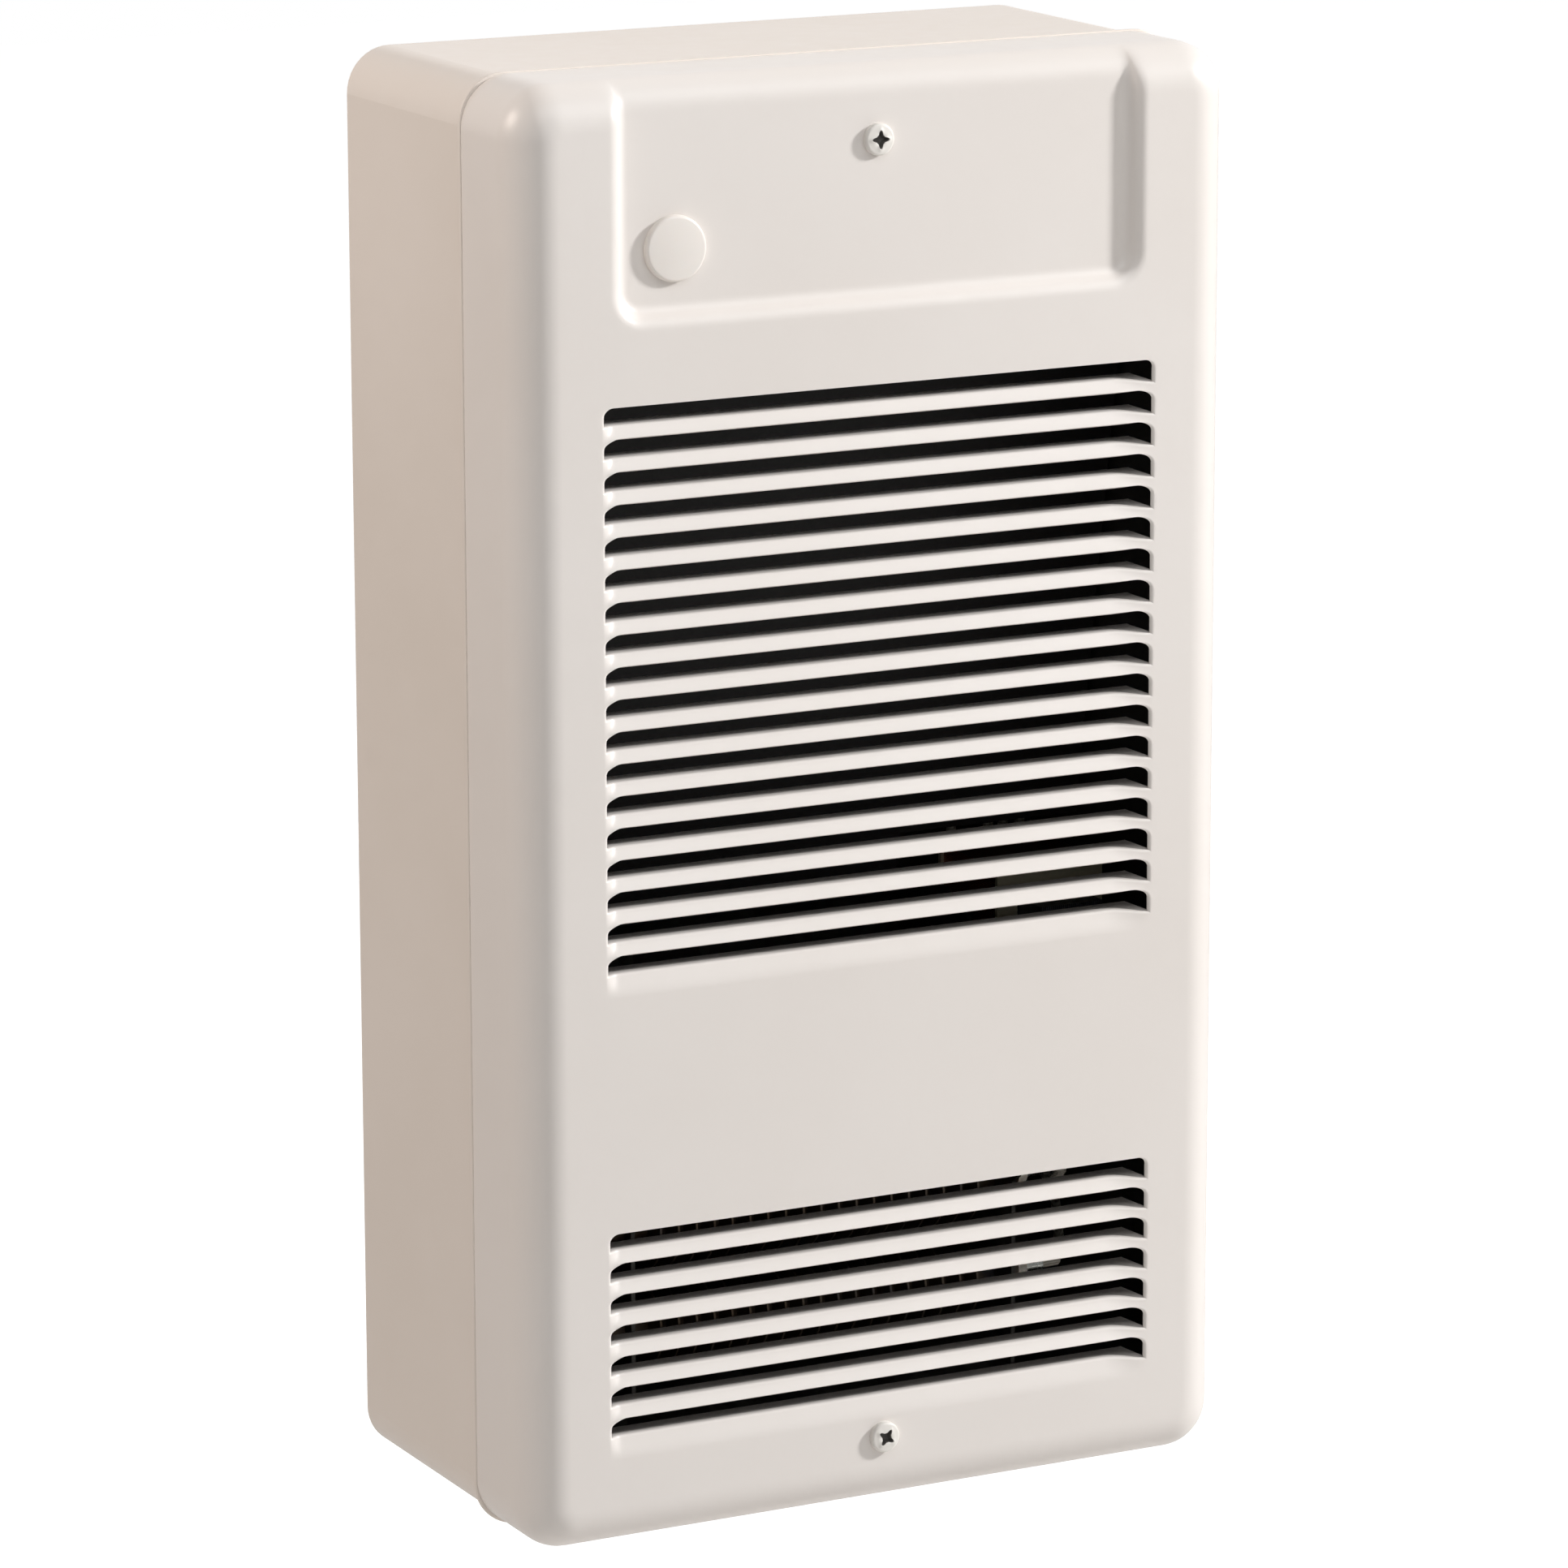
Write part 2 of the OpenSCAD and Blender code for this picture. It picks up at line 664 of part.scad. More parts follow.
// Outline of both end plates, as (depth, height)
module end_outline() {
    polygon([[sheet, plate_top_z], [sheet, wheel_z - plate_under],
        [wheel_y, floor_line(wheel_y) - plate_margin],
        [floor_end_d + 1, plate_foot_z], [floor_end_d + 1, roof_front_z - 8],
        [roof_front_d + 0.5, roof_front_z - 2], [roof_front_d + 0.5, roof_front_z + 10],
        [wheel_y + plate_step, wheel_z + 18], [wheel_y + plate_step, wheel_z + plate_step - 1],
        [wheel_y + 10, plate_top_z]]);
}

module left_end_plate() {
    color("silver") difference() {
        union() {
            along_x(duct_left, duct_in_l) end_outline();
            slab([duct_in_l, sheet, wheel_z - 47], [duct_in_l + 12, sheet + plate_t, wheel_z + 28]);
        }
        bar_x(duct_left - 1, duct_in_l + 1, wheel_y, wheel_z, cup_r);
        fixing_holes();
    }
}

module right_end_plate() {
    x1 = duct_right + plate_t;
    color("silver") difference() {
        union() {
            along_x(duct_right, x1) end_outline();
            slab([x1, sheet, wheel_z - 47], [x1 + 12, sheet + plate_t, wheel_z + 28]);
        }
        bar_x(duct_right - 1, x1 + 1, wheel_y, wheel_z, cup_r);
        for (s = [-1, 1]) {
            bar_x(duct_right - 1, x1 + 1, wheel_y + s * motor_screw_at, wheel_z,
                motor_screw_d / 2 + thread_gap);
            bar_x(duct_right - 1, x1 + 1, cutout_y, cutout_z + s * ear_at, ear_r + thread_gap);
        }
        for (z = run_z) bar_x(duct_right - 1, x1 + 1, element_y, z, tube_d / 2 + seat_gap);
        fixing_holes();
    }
}

// ---- wheel ----

// One forward-curved blade of the wheel, as (depth, height) about the axis
module wheel_blade() {
    translate([wheel_r - 5.4, -5]) intersection() {
        difference() {
            circle(blade_r + blade_t / 2);
            circle(blade_r - blade_t / 2);
        }
        polygon([[0, 0], for (a = [30, 85, 146]) 3 * blade_r * [cos(a), sin(a)]]);
    }
}

module crossflow_wheel() {
    span = wheel_right - wheel_left;
    color("lightsteelblue") {
        for (k = [0:blade_count - 1])
            translate([wheel_left, -wheel_y, wheel_z]) rotate([k * 360 / blade_count, 0, 0])
                rotate([90, 0, 90]) linear_extrude(span) wheel_blade();
        for (k = [0:disc_count - 1]) {
            x = wheel_left + (span - disc_t) * k / (disc_count - 1);
            hole_r = k == 0 ? shaft_d / 2 : k == disc_count - 1 ? cup_r : wheel_r * 0.55;
            difference() {
                bar_x(x, x + disc_t, wheel_y, wheel_z, wheel_r);
                bar_x(x - 1, x + 2, wheel_y, wheel_z, hole_r);
            }
        }
    }
}

module wheel_hub() {
    inner = wheel_right - disc_t;
    color("dimgray") difference() {
        union() {
            bar_x(inner - 2.5, inner, wheel_y, wheel_z, cup_r + 3);
            bar_x(inner - 12, wheel_right, wheel_y, wheel_z, cup_r);
        }
        bar_x(inner - 13, wheel_right + 1, wheel_y, wheel_z, shaft_d / 2);
    }
}

module wheel_stub_shaft() {
    color("silver") {
        bar_x(stub_end, wheel_left + 8, wheel_y, wheel_z, shaft_d / 2);
        bar_x(wheel_left + disc_t, wheel_left + disc_t + 2, wheel_y, wheel_z, cup_r + 3);
    }
}

module wheel_bearing_cup() {
    color("dimgray") difference() {
        union() {
            bar_x(stub_end - 0.3, wheel_left - 1.5, wheel_y, wheel_z, cup_r);
            bar_x(stub_end - 0.3, duct_left, wheel_y, wheel_z, cup_r + 2);
        }
        bar_x(stub_end - 1, wheel_left, wheel_y, wheel_z, bush_r);
    }
}

module bush(x0, x1) {
    difference() {
        bar_x(x0, x1, wheel_y, wheel_z, bush_r);
        bar_x(x0 - 1, x1 + 1, wheel_y, wheel_z, shaft_d / 2 + running_gap);
    }
}

module wheel_bush() {
    color("goldenrod") bush(stub_end + 0.2, wheel_left - 1.8);
}

// ---- motor ----

module motor_shaft() {
    color("silver") bar_x(shaft_left, shaft_right, wheel_y, wheel_z, shaft_d / 2);
}

module motor_rotor() {
    color("slategray") difference() {
        bar_x(front_stack_x - 1, rear_stack_x + 1, wheel_y, wheel_z, rotor_d / 2);
        bar_x(front_stack_x - 2, rear_stack_x + 2, wheel_y, wheel_z, shaft_d / 2);
    }
}

module motor_stack() {
    color("slategray") difference() {
        slab([front_stack_x, wheel_y - stack_w / 2, wheel_z - pole_foot],
            [rear_stack_x, wheel_y + stack_w / 2, limb_top]);
        bar_x(front_stack_x - 1, rear_stack_x + 1, wheel_y, wheel_z, rotor_d / 2 + air_gap);
        slab([front_stack_x - 1, wheel_y - stack_w / 2 + 12, wheel_z + pole_foot + 1],
            [rear_stack_x + 1, wheel_y + stack_w / 2 - 12, limb_foot]);
        for (s = [-1, 1])
            bar_x(front_stack_x - 1, rear_stack_x + 1, wheel_y + s * motor_screw_at, wheel_z,
                motor_screw_d / 2 + 0.1);
    }
}

// A block round the coil's limb: out is its reach past the limb, trim its shortening at each end
module round_limb(side, up, trim) {
    slab([front_stack_x - side, wheel_y - coil_half + trim, limb_foot - up],
        [rear_stack_x + side, wheel_y + coil_half - trim, limb_top + up]);
}

module motor_coil() {
    color("saddlebrown") difference() {
        round_limb(coil_over - 1, coil_wall - 1, bobbin_t);
        round_limb(coil_gap + 1, coil_gap + 1, -1);
    }
}

module motor_bobbin() {
    tag_z = (limb_top + limb_top + coil_wall) / 2;
    color("ivory") {
        difference() {
            union() {
                round_limb(coil_gap + 1, coil_gap + 1, 0);
                for (s = [0, 1]) translate([0, s * (bobbin_t - 2 * coil_half), 0])
                    slab([front_stack_x - coil_over, wheel_y - coil_half, limb_foot - coil_wall],
                        [rear_stack_x + coil_over, wheel_y - coil_half + bobbin_t, limb_top + coil_wall]);
            }
            round_limb(coil_gap, coil_gap, -1);
        }
        for (x = [front_stack_x + 4, rear_stack_x - 4])
            slab([x - tag_w / 2, wheel_y - coil_half - 6, tag_z - tag_t / 2],
                [x + tag_w / 2, wheel_y - coil_half, tag_z + tag_t / 2]);
    }
}

// Bearing bracket: a bar on two posts with a boss; x0 is its outer face and dir points inwards
module bearing_bracket(x0, dir) {
    bar_end = x0 + dir * bar_t;
    post_end = bar_end + dir * post_l;
    boss_end = bar_end + dir * (post_l - 2);
    reach = motor_screw_at + 5;
    lo = min(x0, bar_end);
    difference() {
        union() {
            slab([lo, wheel_y - reach, wheel_z - boss_r], [lo + bar_t, wheel_y + reach, wheel_z + boss_r]);
            for (s = [-1, 1])
                bar_x(min(bar_end, post_end), max(bar_end, post_end), wheel_y + s * motor_screw_at,
                    wheel_z, 4);
            bar_x(min(bar_end, boss_end), max(bar_end, boss_end), wheel_y, wheel_z, boss_r);
        }
        bar_x(lo - 20, lo + 20, wheel_y, wheel_z, bush_r);
        for (s = [-1, 1])
            bar_x(lo - 20, lo + 20, wheel_y + s * motor_screw_at, wheel_z, motor_screw_d / 2 + 0.1);
    }
}

module motor_front_bracket() {
    color("darkgray") bearing_bracket(front_bar_x, 1);
}

module motor_rear_bracket() {
    color("darkgray") bearing_bracket(motor_end_x, -1);
}

module motor_bushes() {
    color("goldenrod") {
        bush(front_bar_x + 0.5, front_bar_x + bar_t + post_l - 2.5);
        bush(rear_stack_x + 2.5, motor_end_x - 0.5);
    }
}

module motor_screws() {
    color("silver") for (s = [-1, 1]) {
        d = wheel_y + s * motor_screw_at;
        bar_x(duct_right + 0.2, motor_end_x, d, wheel_z, motor_screw_d / 2);
        difference() {
            bar_x(motor_end_x, motor_end_x + 2.4, d, wheel_z, 3.6);
            slab([motor_end_x + 1.4, d - 4, wheel_z - 0.5], [motor_end_x + 3, d + 4, wheel_z + 0.5]);
        }
    }
}

module motor_isolators() {
    color("dimgray") for (s = [-1, 1]) difference() {
        bar_x(iso_x, front_bar_x, wheel_y + s * motor_screw_at, wheel_z, 5);
        bar_x(iso_x - 1, front_bar_x + 1, wheel_y + s * motor_screw_at, wheel_z, motor_screw_d / 2 + 0.1);
    }
}

// ---- heating element ----

module element_tube() {
    color("darkslategray") {
        for (z = run_z) bar_x(bend_x, element_end_x, element_y, z, tube_d / 2);
        translate([bend_x, -element_y, element_z]) rotate([90, 90, 0]) mirror([0, 1, 0])
            rotate_extrude(angle = 180) translate([run_gap / 2, 0]) circle(tube_d / 2);
    }
}

module element_fins() {
    color("gray") for (z = run_z, x = [fin_first:fin_pitch:fin_last]) difference() {
        bar_x(x, x + fin_t, element_y, z, fin_d / 2);
        bar_x(x - 1, x + 1 + fin_t, element_y, z, tube_d / 2 + seat_gap);
    }
}

module element_hanger() {
    d0 = element_y - 8;
    d1 = element_y + 8;
    lift = fold_t / 2 / cos(scroll_end - 270);
    color("silver") difference() {
        along_x(hanger_x, hanger_x + hanger_t)
            polygon([[d0, floor_line(d0) + lift], [d1, floor_line(d1) + lift], [d1, run_z[0] + 8],
                [d0, run_z[0] + 8]]);
        for (z = run_z)
            bar_x(hanger_x - 1, hanger_x + hanger_t + 1, element_y, z, tube_d / 2 + seat_gap);
    }
}

module element_ferrules() {
    x0 = duct_right + plate_t;
    color("silver") for (z = run_z) difference() {
        bar_x(x0, x0 + ferrule_t, element_y, z, tube_d / 2 + 2.5);
        bar_x(x0 - 1, x0 + ferrule_t + 1, element_y, z, tube_d / 2 + seat_gap);
    }
}

module element_insulators() {
    color("white") for (z = run_z) difference() {
        bar_x(element_end_x, element_end_x + insulator_l, element_y, z, tube_d / 2 - 0.5);
        bar_x(element_end_x - 1, element_end_x + insulator_l + 1, element_y, z, pin_r);
    }
}

module element_pins() {
    color("silver") for (z = run_z)
        bar_x(element_end_x, element_end_x + pin_l, element_y, z, pin_r);
}

// ---- thermal cutout ----

module thermal_cutout() {
    x0 = duct_right + plate_t;
    color("black") difference() {
        union() {
            bar_x(x0, x0 + cutout_l, cutout_y, cutout_z, cutout_r);
            slab([x0, cutout_y - 4.5, cutout_z - ear_at - 3],
                [x0 + 1, cutout_y + 4.5, cutout_z + ear_at + 3]);
            for (s = [-1, 1])
                slab([x0 + cutout_l, cutout_y - tag_w / 2, cutout_z + s * 4 - tag_t / 2],
                    [x0 + cutout_l + tag_l, cutout_y + tag_w / 2, cutout_z + s * 4 + tag_t / 2]);
        }
        for (s = [-1, 1])
            bar_x(x0 - 1, x0 + 3, cutout_y, cutout_z + s * ear_at, ear_r + thread_gap);
    }
}

module cutout_screws() {
    x0 = duct_right + plate_t + 1;
    color("silver") for (s = [-1, 1]) {
        bar_x(duct_right + 0.1, x0, cutout_y, cutout_z + s * ear_at, ear_r);
        bar_x(x0, x0 + 1.6, cutout_y, cutout_z + s * ear_at, 2.6);
    }
}

// ---- wiring shelf and air guide ----

module wiring_shelf() {
    w = shelf_w / 2;
    path = [[sheet + fold_t / 2, shelf_z - 12], [sheet + fold_t / 2, shelf_z + fold_t / 2],
        [shelf_front_d, shelf_z + fold_t / 2], [shelf_front_d, shelf_z - 5]];
    color("silver") difference() {
        along_x(-w, w) polygon(folded(path, fold_t));
        translate([grommet_x, -grommet_y, shelf_z - 1]) cylinder(h = fold_t + 2, r = grommet_r);
        fixing_holes();
    }
}

module air_guide() {
    w = shelf_w / 2;
    top = shelf_z - fold_t / 2;
    foot = scroll_shelf_z + fold_t;
    path = [[guide_top_d - 16, top], [guide_top_d, top], [guide_foot_d, foot], [guide_foot_d - 14, foot]];
    color("darkslategray") difference() {
        along_x(-w, w) polygon(folded(path, fold_t));
        slab([-w - 1, 0, foot - 5], [duct_in_l, guide_top_d, plate_top_z + 1]);
        slab([duct_right, 0, foot - 5], [w + 1, guide_top_d, limb_top + coil_wall + 4]);
    }
}

// ---- thermostat ----

module thermostat_bracket() {
    x0 = plug_x - thermostat_w / 2 - bracket_side;
    x1 = plug_x + thermostat_w / 2 + bracket_side;
    z0 = plug_z - thermostat_w / 2 - 1;
    z1 = plug_z + thermostat_w / 2 + 1;
    color("silver") difference() {
        union() {
            slab([x0 - plate_t, sheet, z0], [x0, face_d + plate_t, z1]);
            slab([x0, sheet, z0], [x0 + foot_w + 2, sheet + plate_t, z1]);
            slab([x0, face_d, z0], [x1, face_d + plate_t, z1]);
        }
        bar_y(plug_x, plug_z, face_d - 1, face_d + plate_t + 1, neck_d / 2 + seat_gap);
        fixing_holes();
    }
}

module thermostat_body() {
    half = thermostat_w / 2;
    color("black") difference() {
        union() {
            slab([plug_x - half, body_back_d, plug_z - half], [plug_x + half, face_d, plug_z + half]);
            bar_y(plug_x, plug_z, face_d, face_d + neck_l, neck_d / 2);
            for (x = [-8, 8])
                slab([plug_x + x - tag_w / 2, face_d - 13, plug_z - half - 7],
                    [plug_x + x + tag_w / 2, face_d - 13 + tag_t, plug_z - half]);
        }
        bar_y(plug_x, plug_z, face_d - 6, face_d + neck_l + 1, spindle_d / 2 + running_gap);
    }
}

module thermostat_nut() {
    d = face_d + plate_t;
    color("silver") difference() {
        in_depth(d, d + 3) translate([plug_x, plug_z]) circle(8, $fn = 6);
        bar_y(plug_x, plug_z, d - 1, d + 4, neck_d / 2 + seat_gap);
    }
}

module thermostat_spindle() {
    color("ivory") difference() {
        bar_y(plug_x, plug_z, face_d - 5.7, spindle_front_d, spindle_d / 2);
        slab([plug_x - spindle_d, spindle_front_d - 1.6, plug_z - 0.6],
            [plug_x + spindle_d, spindle_front_d + 1, plug_z + 0.6]);
    }
}

// ---- terminals and small parts ----

module terminal_block() {
    d1 = sheet + block_d;
    color("ivory") difference() {
        union() {
            slab([block_x - block_half, sheet, block_z - block_h / 2],
                [block_x + block_half, d1 - block_rib_h, block_z + block_h / 2]);
            slab([block_x - block_half - lug_l, sheet, block_z - 5],
                [block_x + block_half + lug_l, sheet + lug_t, block_z + 5]);
            for (k = [-2:2])
                slab([block_x + k * pole_gap - 0.8, d1 - block_rib_h, block_z - block_h / 2],
                    [block_x + k * pole_gap + 0.8, d1, block_z + block_h / 2]);
        }
        for (k = [-1.5:1.5], s = [-1, 1]) {
            bar_y(block_x + k * pole_gap, block_z + s * 5, d1 - 11, d1 + 1, 1.75 + thread_gap);
            translate([block_x + k * pole_gap, -(sheet + 5), block_z + s * (block_h / 2 - entry_l)])
                rotate([s < 0 ? 180 : 0, 0, 0]) cylinder(h = entry_l + 1, r = entry_r);
        }
        fixing_holes();
    }
}

module terminal_screws() {
    d = sheet + block_d - block_rib_h;
    color("goldenrod") for (k = [-1.5:1.5], s = [-1, 1])
        cross_screw(block_x + k * pole_gap, block_z + s * 5, d, 6.5, 1.75, 3.2, 1.8);
}

module earth_screw() {
    color("green") {
        bar_y(earth_x, earth_z, 0.2, sheet, screw_r);
        in_depth(sheet, sheet + 3.4) translate([earth_x, earth_z]) circle(4.6, $fn = 6);
    }
}

module supply_bushing() {
    color("dimgray") difference() {
        union() {
            bar_y(inlet_x, inlet_z, 0, sheet + 4, bushing_r);
            bar_y(inlet_x, inlet_z, sheet, sheet + 2, bushing_r + 3);
        }
        bar_y(inlet_x, inlet_z, -1, sheet + 5, inlet_d / 2);
    }
}

module lead_grommet() {
    color("dimgray") translate([grommet_x, -grommet_y, shelf_z - 1.5]) difference() {
        union() {
            cylinder(h = fold_t + 3, r = grommet_r);
            cylinder(h = 1.5, r = grommet_r + 2);
            translate([0, 0, 1.5 + fold_t]) cylinder(h = 1.5, r = grommet_r + 2);
        }
        translate([0, 0, -1]) cylinder(h = fold_t + 5, r = grommet_r - grommet_wall);
    }
}

module fixing_screws() {
    color("silver") for (f = fixings) {
        seat = sheet + f[2];
        bar_y(f[0], f[1], 0.2, seat, screw_r);
        difference() {
            bar_y(f[0], f[1], seat, seat + screw_cap_h, screw_cap_r);
            slab([f[0] - 4, seat + 1.2, f[1] - 0.4], [f[0] + 4, seat + 3, f[1] + 0.4]);
        }
    }
}

// ---- wiring ----

// Points on a smooth curve through a route of points, [x, depth, height]
function spline(p, i, t) =
    let (n = len(p) - 1, a = p[max(i - 1, 0)], b = p[i], c = p[min(i + 1, n)], d = p[min(i + 2, n)])
    0.5 * (2 * b + (c - a) * t + (2 * a - 5 * b + 4 * c - d) * t * t
        + (3 * b - a - 3 * c + d) * t * t * t);

// A unit vector square to u, as near as can be to a
function squared(a, u) = let (b = a - (a * u) * u) b / norm(b);

// The sideways direction of ring k, carried along the path so that the tube doesn't twist
function carried(u, k) = squared(k == 0 ? [0.3, 0.5, 0.8] : carried(u, k - 1), u[k]);

// A tube of 8 sides swept along points, each ring square to the path
module swept(points, r) {
    sides = 8;
    n = len(points);
    runs = [for (k = [0:n - 1]) points[min(k + 1, n - 1)] - points[max(k - 1, 0)]];
    u = [for (v = runs) v / norm(v)];
    rings = [for (k = [0:n - 1])
        let (a = carried(u, k), b = cross(u[k], a))
        for (s = [0:sides - 1]) points[k] + r * (cos(s * 360 / sides) * a + sin(s * 360 / sides) * b)];
    skin = [for (k = [0:n - 2], s = [0:sides - 1])
        let (p = k * sides, q = (k + 1) * sides, e = (s + 1) % sides)
        each [[p + s, q + s, q + e], [p + s, q + e, p + e]]];
    first = [for (s = [1:sides - 2]) [0, s, s + 1]];
    last = [for (s = [1:sides - 2]) let (p = (n - 1) * sides) [p, p + s + 1, p + s]];
    polyhedron(rings, concat(skin, first, last));
}

// A lead runs straight at both ends, so that it meets its terminals squarely
module lead(route) {
    n = len(route) - 1;
    points = concat(
        [route[0]],
        [for (i = [1:n - 2], k = [0:lead_steps - 1]) spline(route, i, k / lead_steps)],
        [route[n - 1], route[n]]);
    swept([for (p = points) [p[0], -p[1], p[2]]], lead_r);
}

module wiring_leads() {
    color("firebrick") for (route = lead_routes) lead(route);
}

back_box();
front_cover();
cover_screws();
access_plug();
upper_cover_bracket();
lower_cover_bracket();
bracket_rivets();
blower_scroll();
duct_roof();
left_end_plate();
right_end_plate();
crossflow_wheel();
wheel_hub();
wheel_stub_shaft();
wheel_bearing_cup();
wheel_bush();
motor_shaft();
motor_rotor();
motor_stack();
motor_coil();
motor_bobbin();
motor_front_bracket();
motor_rear_bracket();
motor_bushes();
motor_screws();
motor_isolators();
element_tube();
element_fins();
element_hanger();
element_ferrules();
element_insulators();
element_pins();
thermal_cutout();
cutout_screws();
wiring_shelf();
air_guide();
thermostat_bracket();
thermostat_body();
thermostat_nut();
thermostat_spindle();
terminal_block();
terminal_screws();
earth_screw();
supply_bushing();
lead_grommet();
wiring_leads();
fixing_screws();
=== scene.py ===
"""The bathroom wall fan heater's visual model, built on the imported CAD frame.

Lengths are millimetres in the dataclasses and in the mesh code, written as (x, depth, z) with depth
measured from the wall; they become metres in the row frame, (x, -depth, z), when a mesh is made.
"""
from __future__ import annotations

import json
import logging
import math
from collections.abc import Callable, Iterable, Sequence
from dataclasses import dataclass, field
from enum import Enum

import bmesh
import bpy
from mathutils import Matrix, Vector
from mathutils.geometry import delaunay_2d_cdt

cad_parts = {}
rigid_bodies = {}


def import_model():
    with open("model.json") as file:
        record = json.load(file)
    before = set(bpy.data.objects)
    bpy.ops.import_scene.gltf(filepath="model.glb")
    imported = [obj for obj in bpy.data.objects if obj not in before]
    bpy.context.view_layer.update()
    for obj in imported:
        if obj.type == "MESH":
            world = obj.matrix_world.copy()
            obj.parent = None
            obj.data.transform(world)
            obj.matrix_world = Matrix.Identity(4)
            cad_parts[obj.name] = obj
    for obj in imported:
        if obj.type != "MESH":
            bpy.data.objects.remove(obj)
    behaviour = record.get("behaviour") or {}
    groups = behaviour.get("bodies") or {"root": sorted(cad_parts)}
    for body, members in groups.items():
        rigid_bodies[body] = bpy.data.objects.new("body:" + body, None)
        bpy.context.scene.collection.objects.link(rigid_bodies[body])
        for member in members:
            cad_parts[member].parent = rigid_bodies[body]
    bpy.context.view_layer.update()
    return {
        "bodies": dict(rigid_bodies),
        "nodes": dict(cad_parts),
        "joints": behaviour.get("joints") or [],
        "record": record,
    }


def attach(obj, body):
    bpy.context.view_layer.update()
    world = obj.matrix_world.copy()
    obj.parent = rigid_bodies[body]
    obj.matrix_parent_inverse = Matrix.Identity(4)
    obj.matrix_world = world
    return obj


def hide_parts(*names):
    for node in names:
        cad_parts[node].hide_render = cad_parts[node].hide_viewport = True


log = logging.getLogger("heater")

MM = 0.001
Point = tuple[float, float, float]
Flat = tuple[float, float]
Inputs = dict[str | int, object]
Socket = bpy.types.NodeSocket
Material = bpy.types.Material
Mesh = bpy.types.Mesh
Object = bpy.types.Object

# Width in millimetres of the strip of faces that keeps the shading flat beside an edge
SUPPORT = 0.6


class Body(str, Enum):
    """The CAD bodies that pieces ride on."""

    CHASSIS = "chassis"
    COVER = "cover"
    PLUG = "plug"


# ---------------------------------------------------------------- colour and node helpers


def linear(code: str) -> tuple[float, float, float, float]:
    """Turns an sRGB hex colour into the linear colour that shader sockets take.

    Args:
        code: Six hex digits, with or without a leading hash.

    Returns:
        Linear red, green and blue, and an alpha of 1.
    """
    parts = [int(code.lstrip("#")[i : i + 2], 16) / 255 for i in (0, 2, 4)]
    r, g, b = (c / 12.92 if c <= 0.04045 else ((c + 0.055) / 1.055) ** 2.4 for c in parts)
    return (r, g, b, 1.0)


class Graph:
    """A material's or world's node tree, to which nodes are added with their settings and links."""

    def __init__(self, owner: bpy.types.ID) -> None:
        """Empties the owner's node tree.

        Args:
            owner: A material or a world.
        """
        owner.use_nodes = True
        self.tree = owner.node_tree
        self.tree.nodes.clear()

    def add(self, kind: str, inputs: Inputs | None = None, **settings: object) -> bpy.types.Node:
        """Adds one node.

        Args:
            kind: The node's type, without the leading ShaderNode.
            inputs: What goes into its sockets, by name or index: a value, or another node's output.
            settings: The node's own properties.

        Returns:
            The new node.
        """
        node = self.tree.nodes.new("ShaderNode" + kind)
        for name, value in settings.items():
            setattr(node, name, value)
        for name, value in (inputs or {}).items():
            if isinstance(value, Socket):
                self.tree.links.new(value, node.inputs[name])
            else:
                node.inputs[name].default_value = value
        return node

    def place(self, stretch: Sequence[float] = (1, 1, 1)) -> Socket:
        """Gives the object's own coordinates, scaled along each axis.

        Args:
            stretch: Factors along x, y and z.

        Returns:
            The socket with the scaled coordinates.
        """
        seat = self.add("TexCoord").outputs["Object"]
        if tuple(stretch) == (1, 1, 1):
            return seat
        return self.add("Mapping", {"Vector": seat, "Scale": tuple(stretch)}).outputs["Vector"]

    def noise(
        self, scale: float, detail: float = 2.0, rough: float = 0.5, stretch: Sequence[float] = (1, 1, 1)
    ) -> Socket:
        """Adds a noise over the object's own coordinates, with its scale in features per metre."""
        inputs = {"Vector": self.place(stretch), "Scale": scale, "Detail": detail, "Roughness": rough}
        return self.add("TexNoise", inputs).outputs["Fac"]

    def ramp(self, value: Socket, stops: Sequence[tuple[float, str]]) -> Socket:
        """Maps a value to colours.

        Args:
            value: What is mapped.
            stops: Pairs of a position and a hex colour.

        Returns:
            The ramp's colour socket.
        """
        node = self.add("ValToRGB", {"Fac": value})
        points = node.color_ramp.elements
        while len(points) < len(stops):
            points.new(0.5)
        for point, (position, colour) in zip(points, stops):
            point.position = position
            point.color = linear(colour)
        return node.outputs["Color"]

    def span(self, value: Socket, low: float, high: float) -> Socket:
        """Maps a noise value's middle part, from 0.3 to 0.7, to the range from low to high."""
        inputs = {"Value": value, "From Min": 0.3, "From Max": 0.7, "To Min": low, "To Max": high}
        return self.add("MapRange", inputs).outputs["Result"]

    def bump(
        self, height: Socket, depth_mm: float, under: Socket | None = None
    ) -> Socket:
        """Adds a bump of a real depth.

        Args:
            height: The height pattern, 0 to 1.
            depth_mm: The pattern's depth in millimetres.
            under: A bump that this one lies on.

        Returns:
            The normal's socket.
        """
        inputs: Inputs = {"Height": height, "Strength": 1.0, "Distance": depth_mm * MM}
        if under is not None:
            inputs["Normal"] = under
        return self.add("Bump", inputs).outputs["Normal"]

    def surface(self, inputs: Inputs) -> None:
        """Ends the tree in a Principled BSDF with these inputs."""
        shader = self.add("BsdfPrincipled", inputs)
        self.add("OutputMaterial", {"Surface": shader.outputs["BSDF"]})


# ---------------------------------------------------------------- finishes


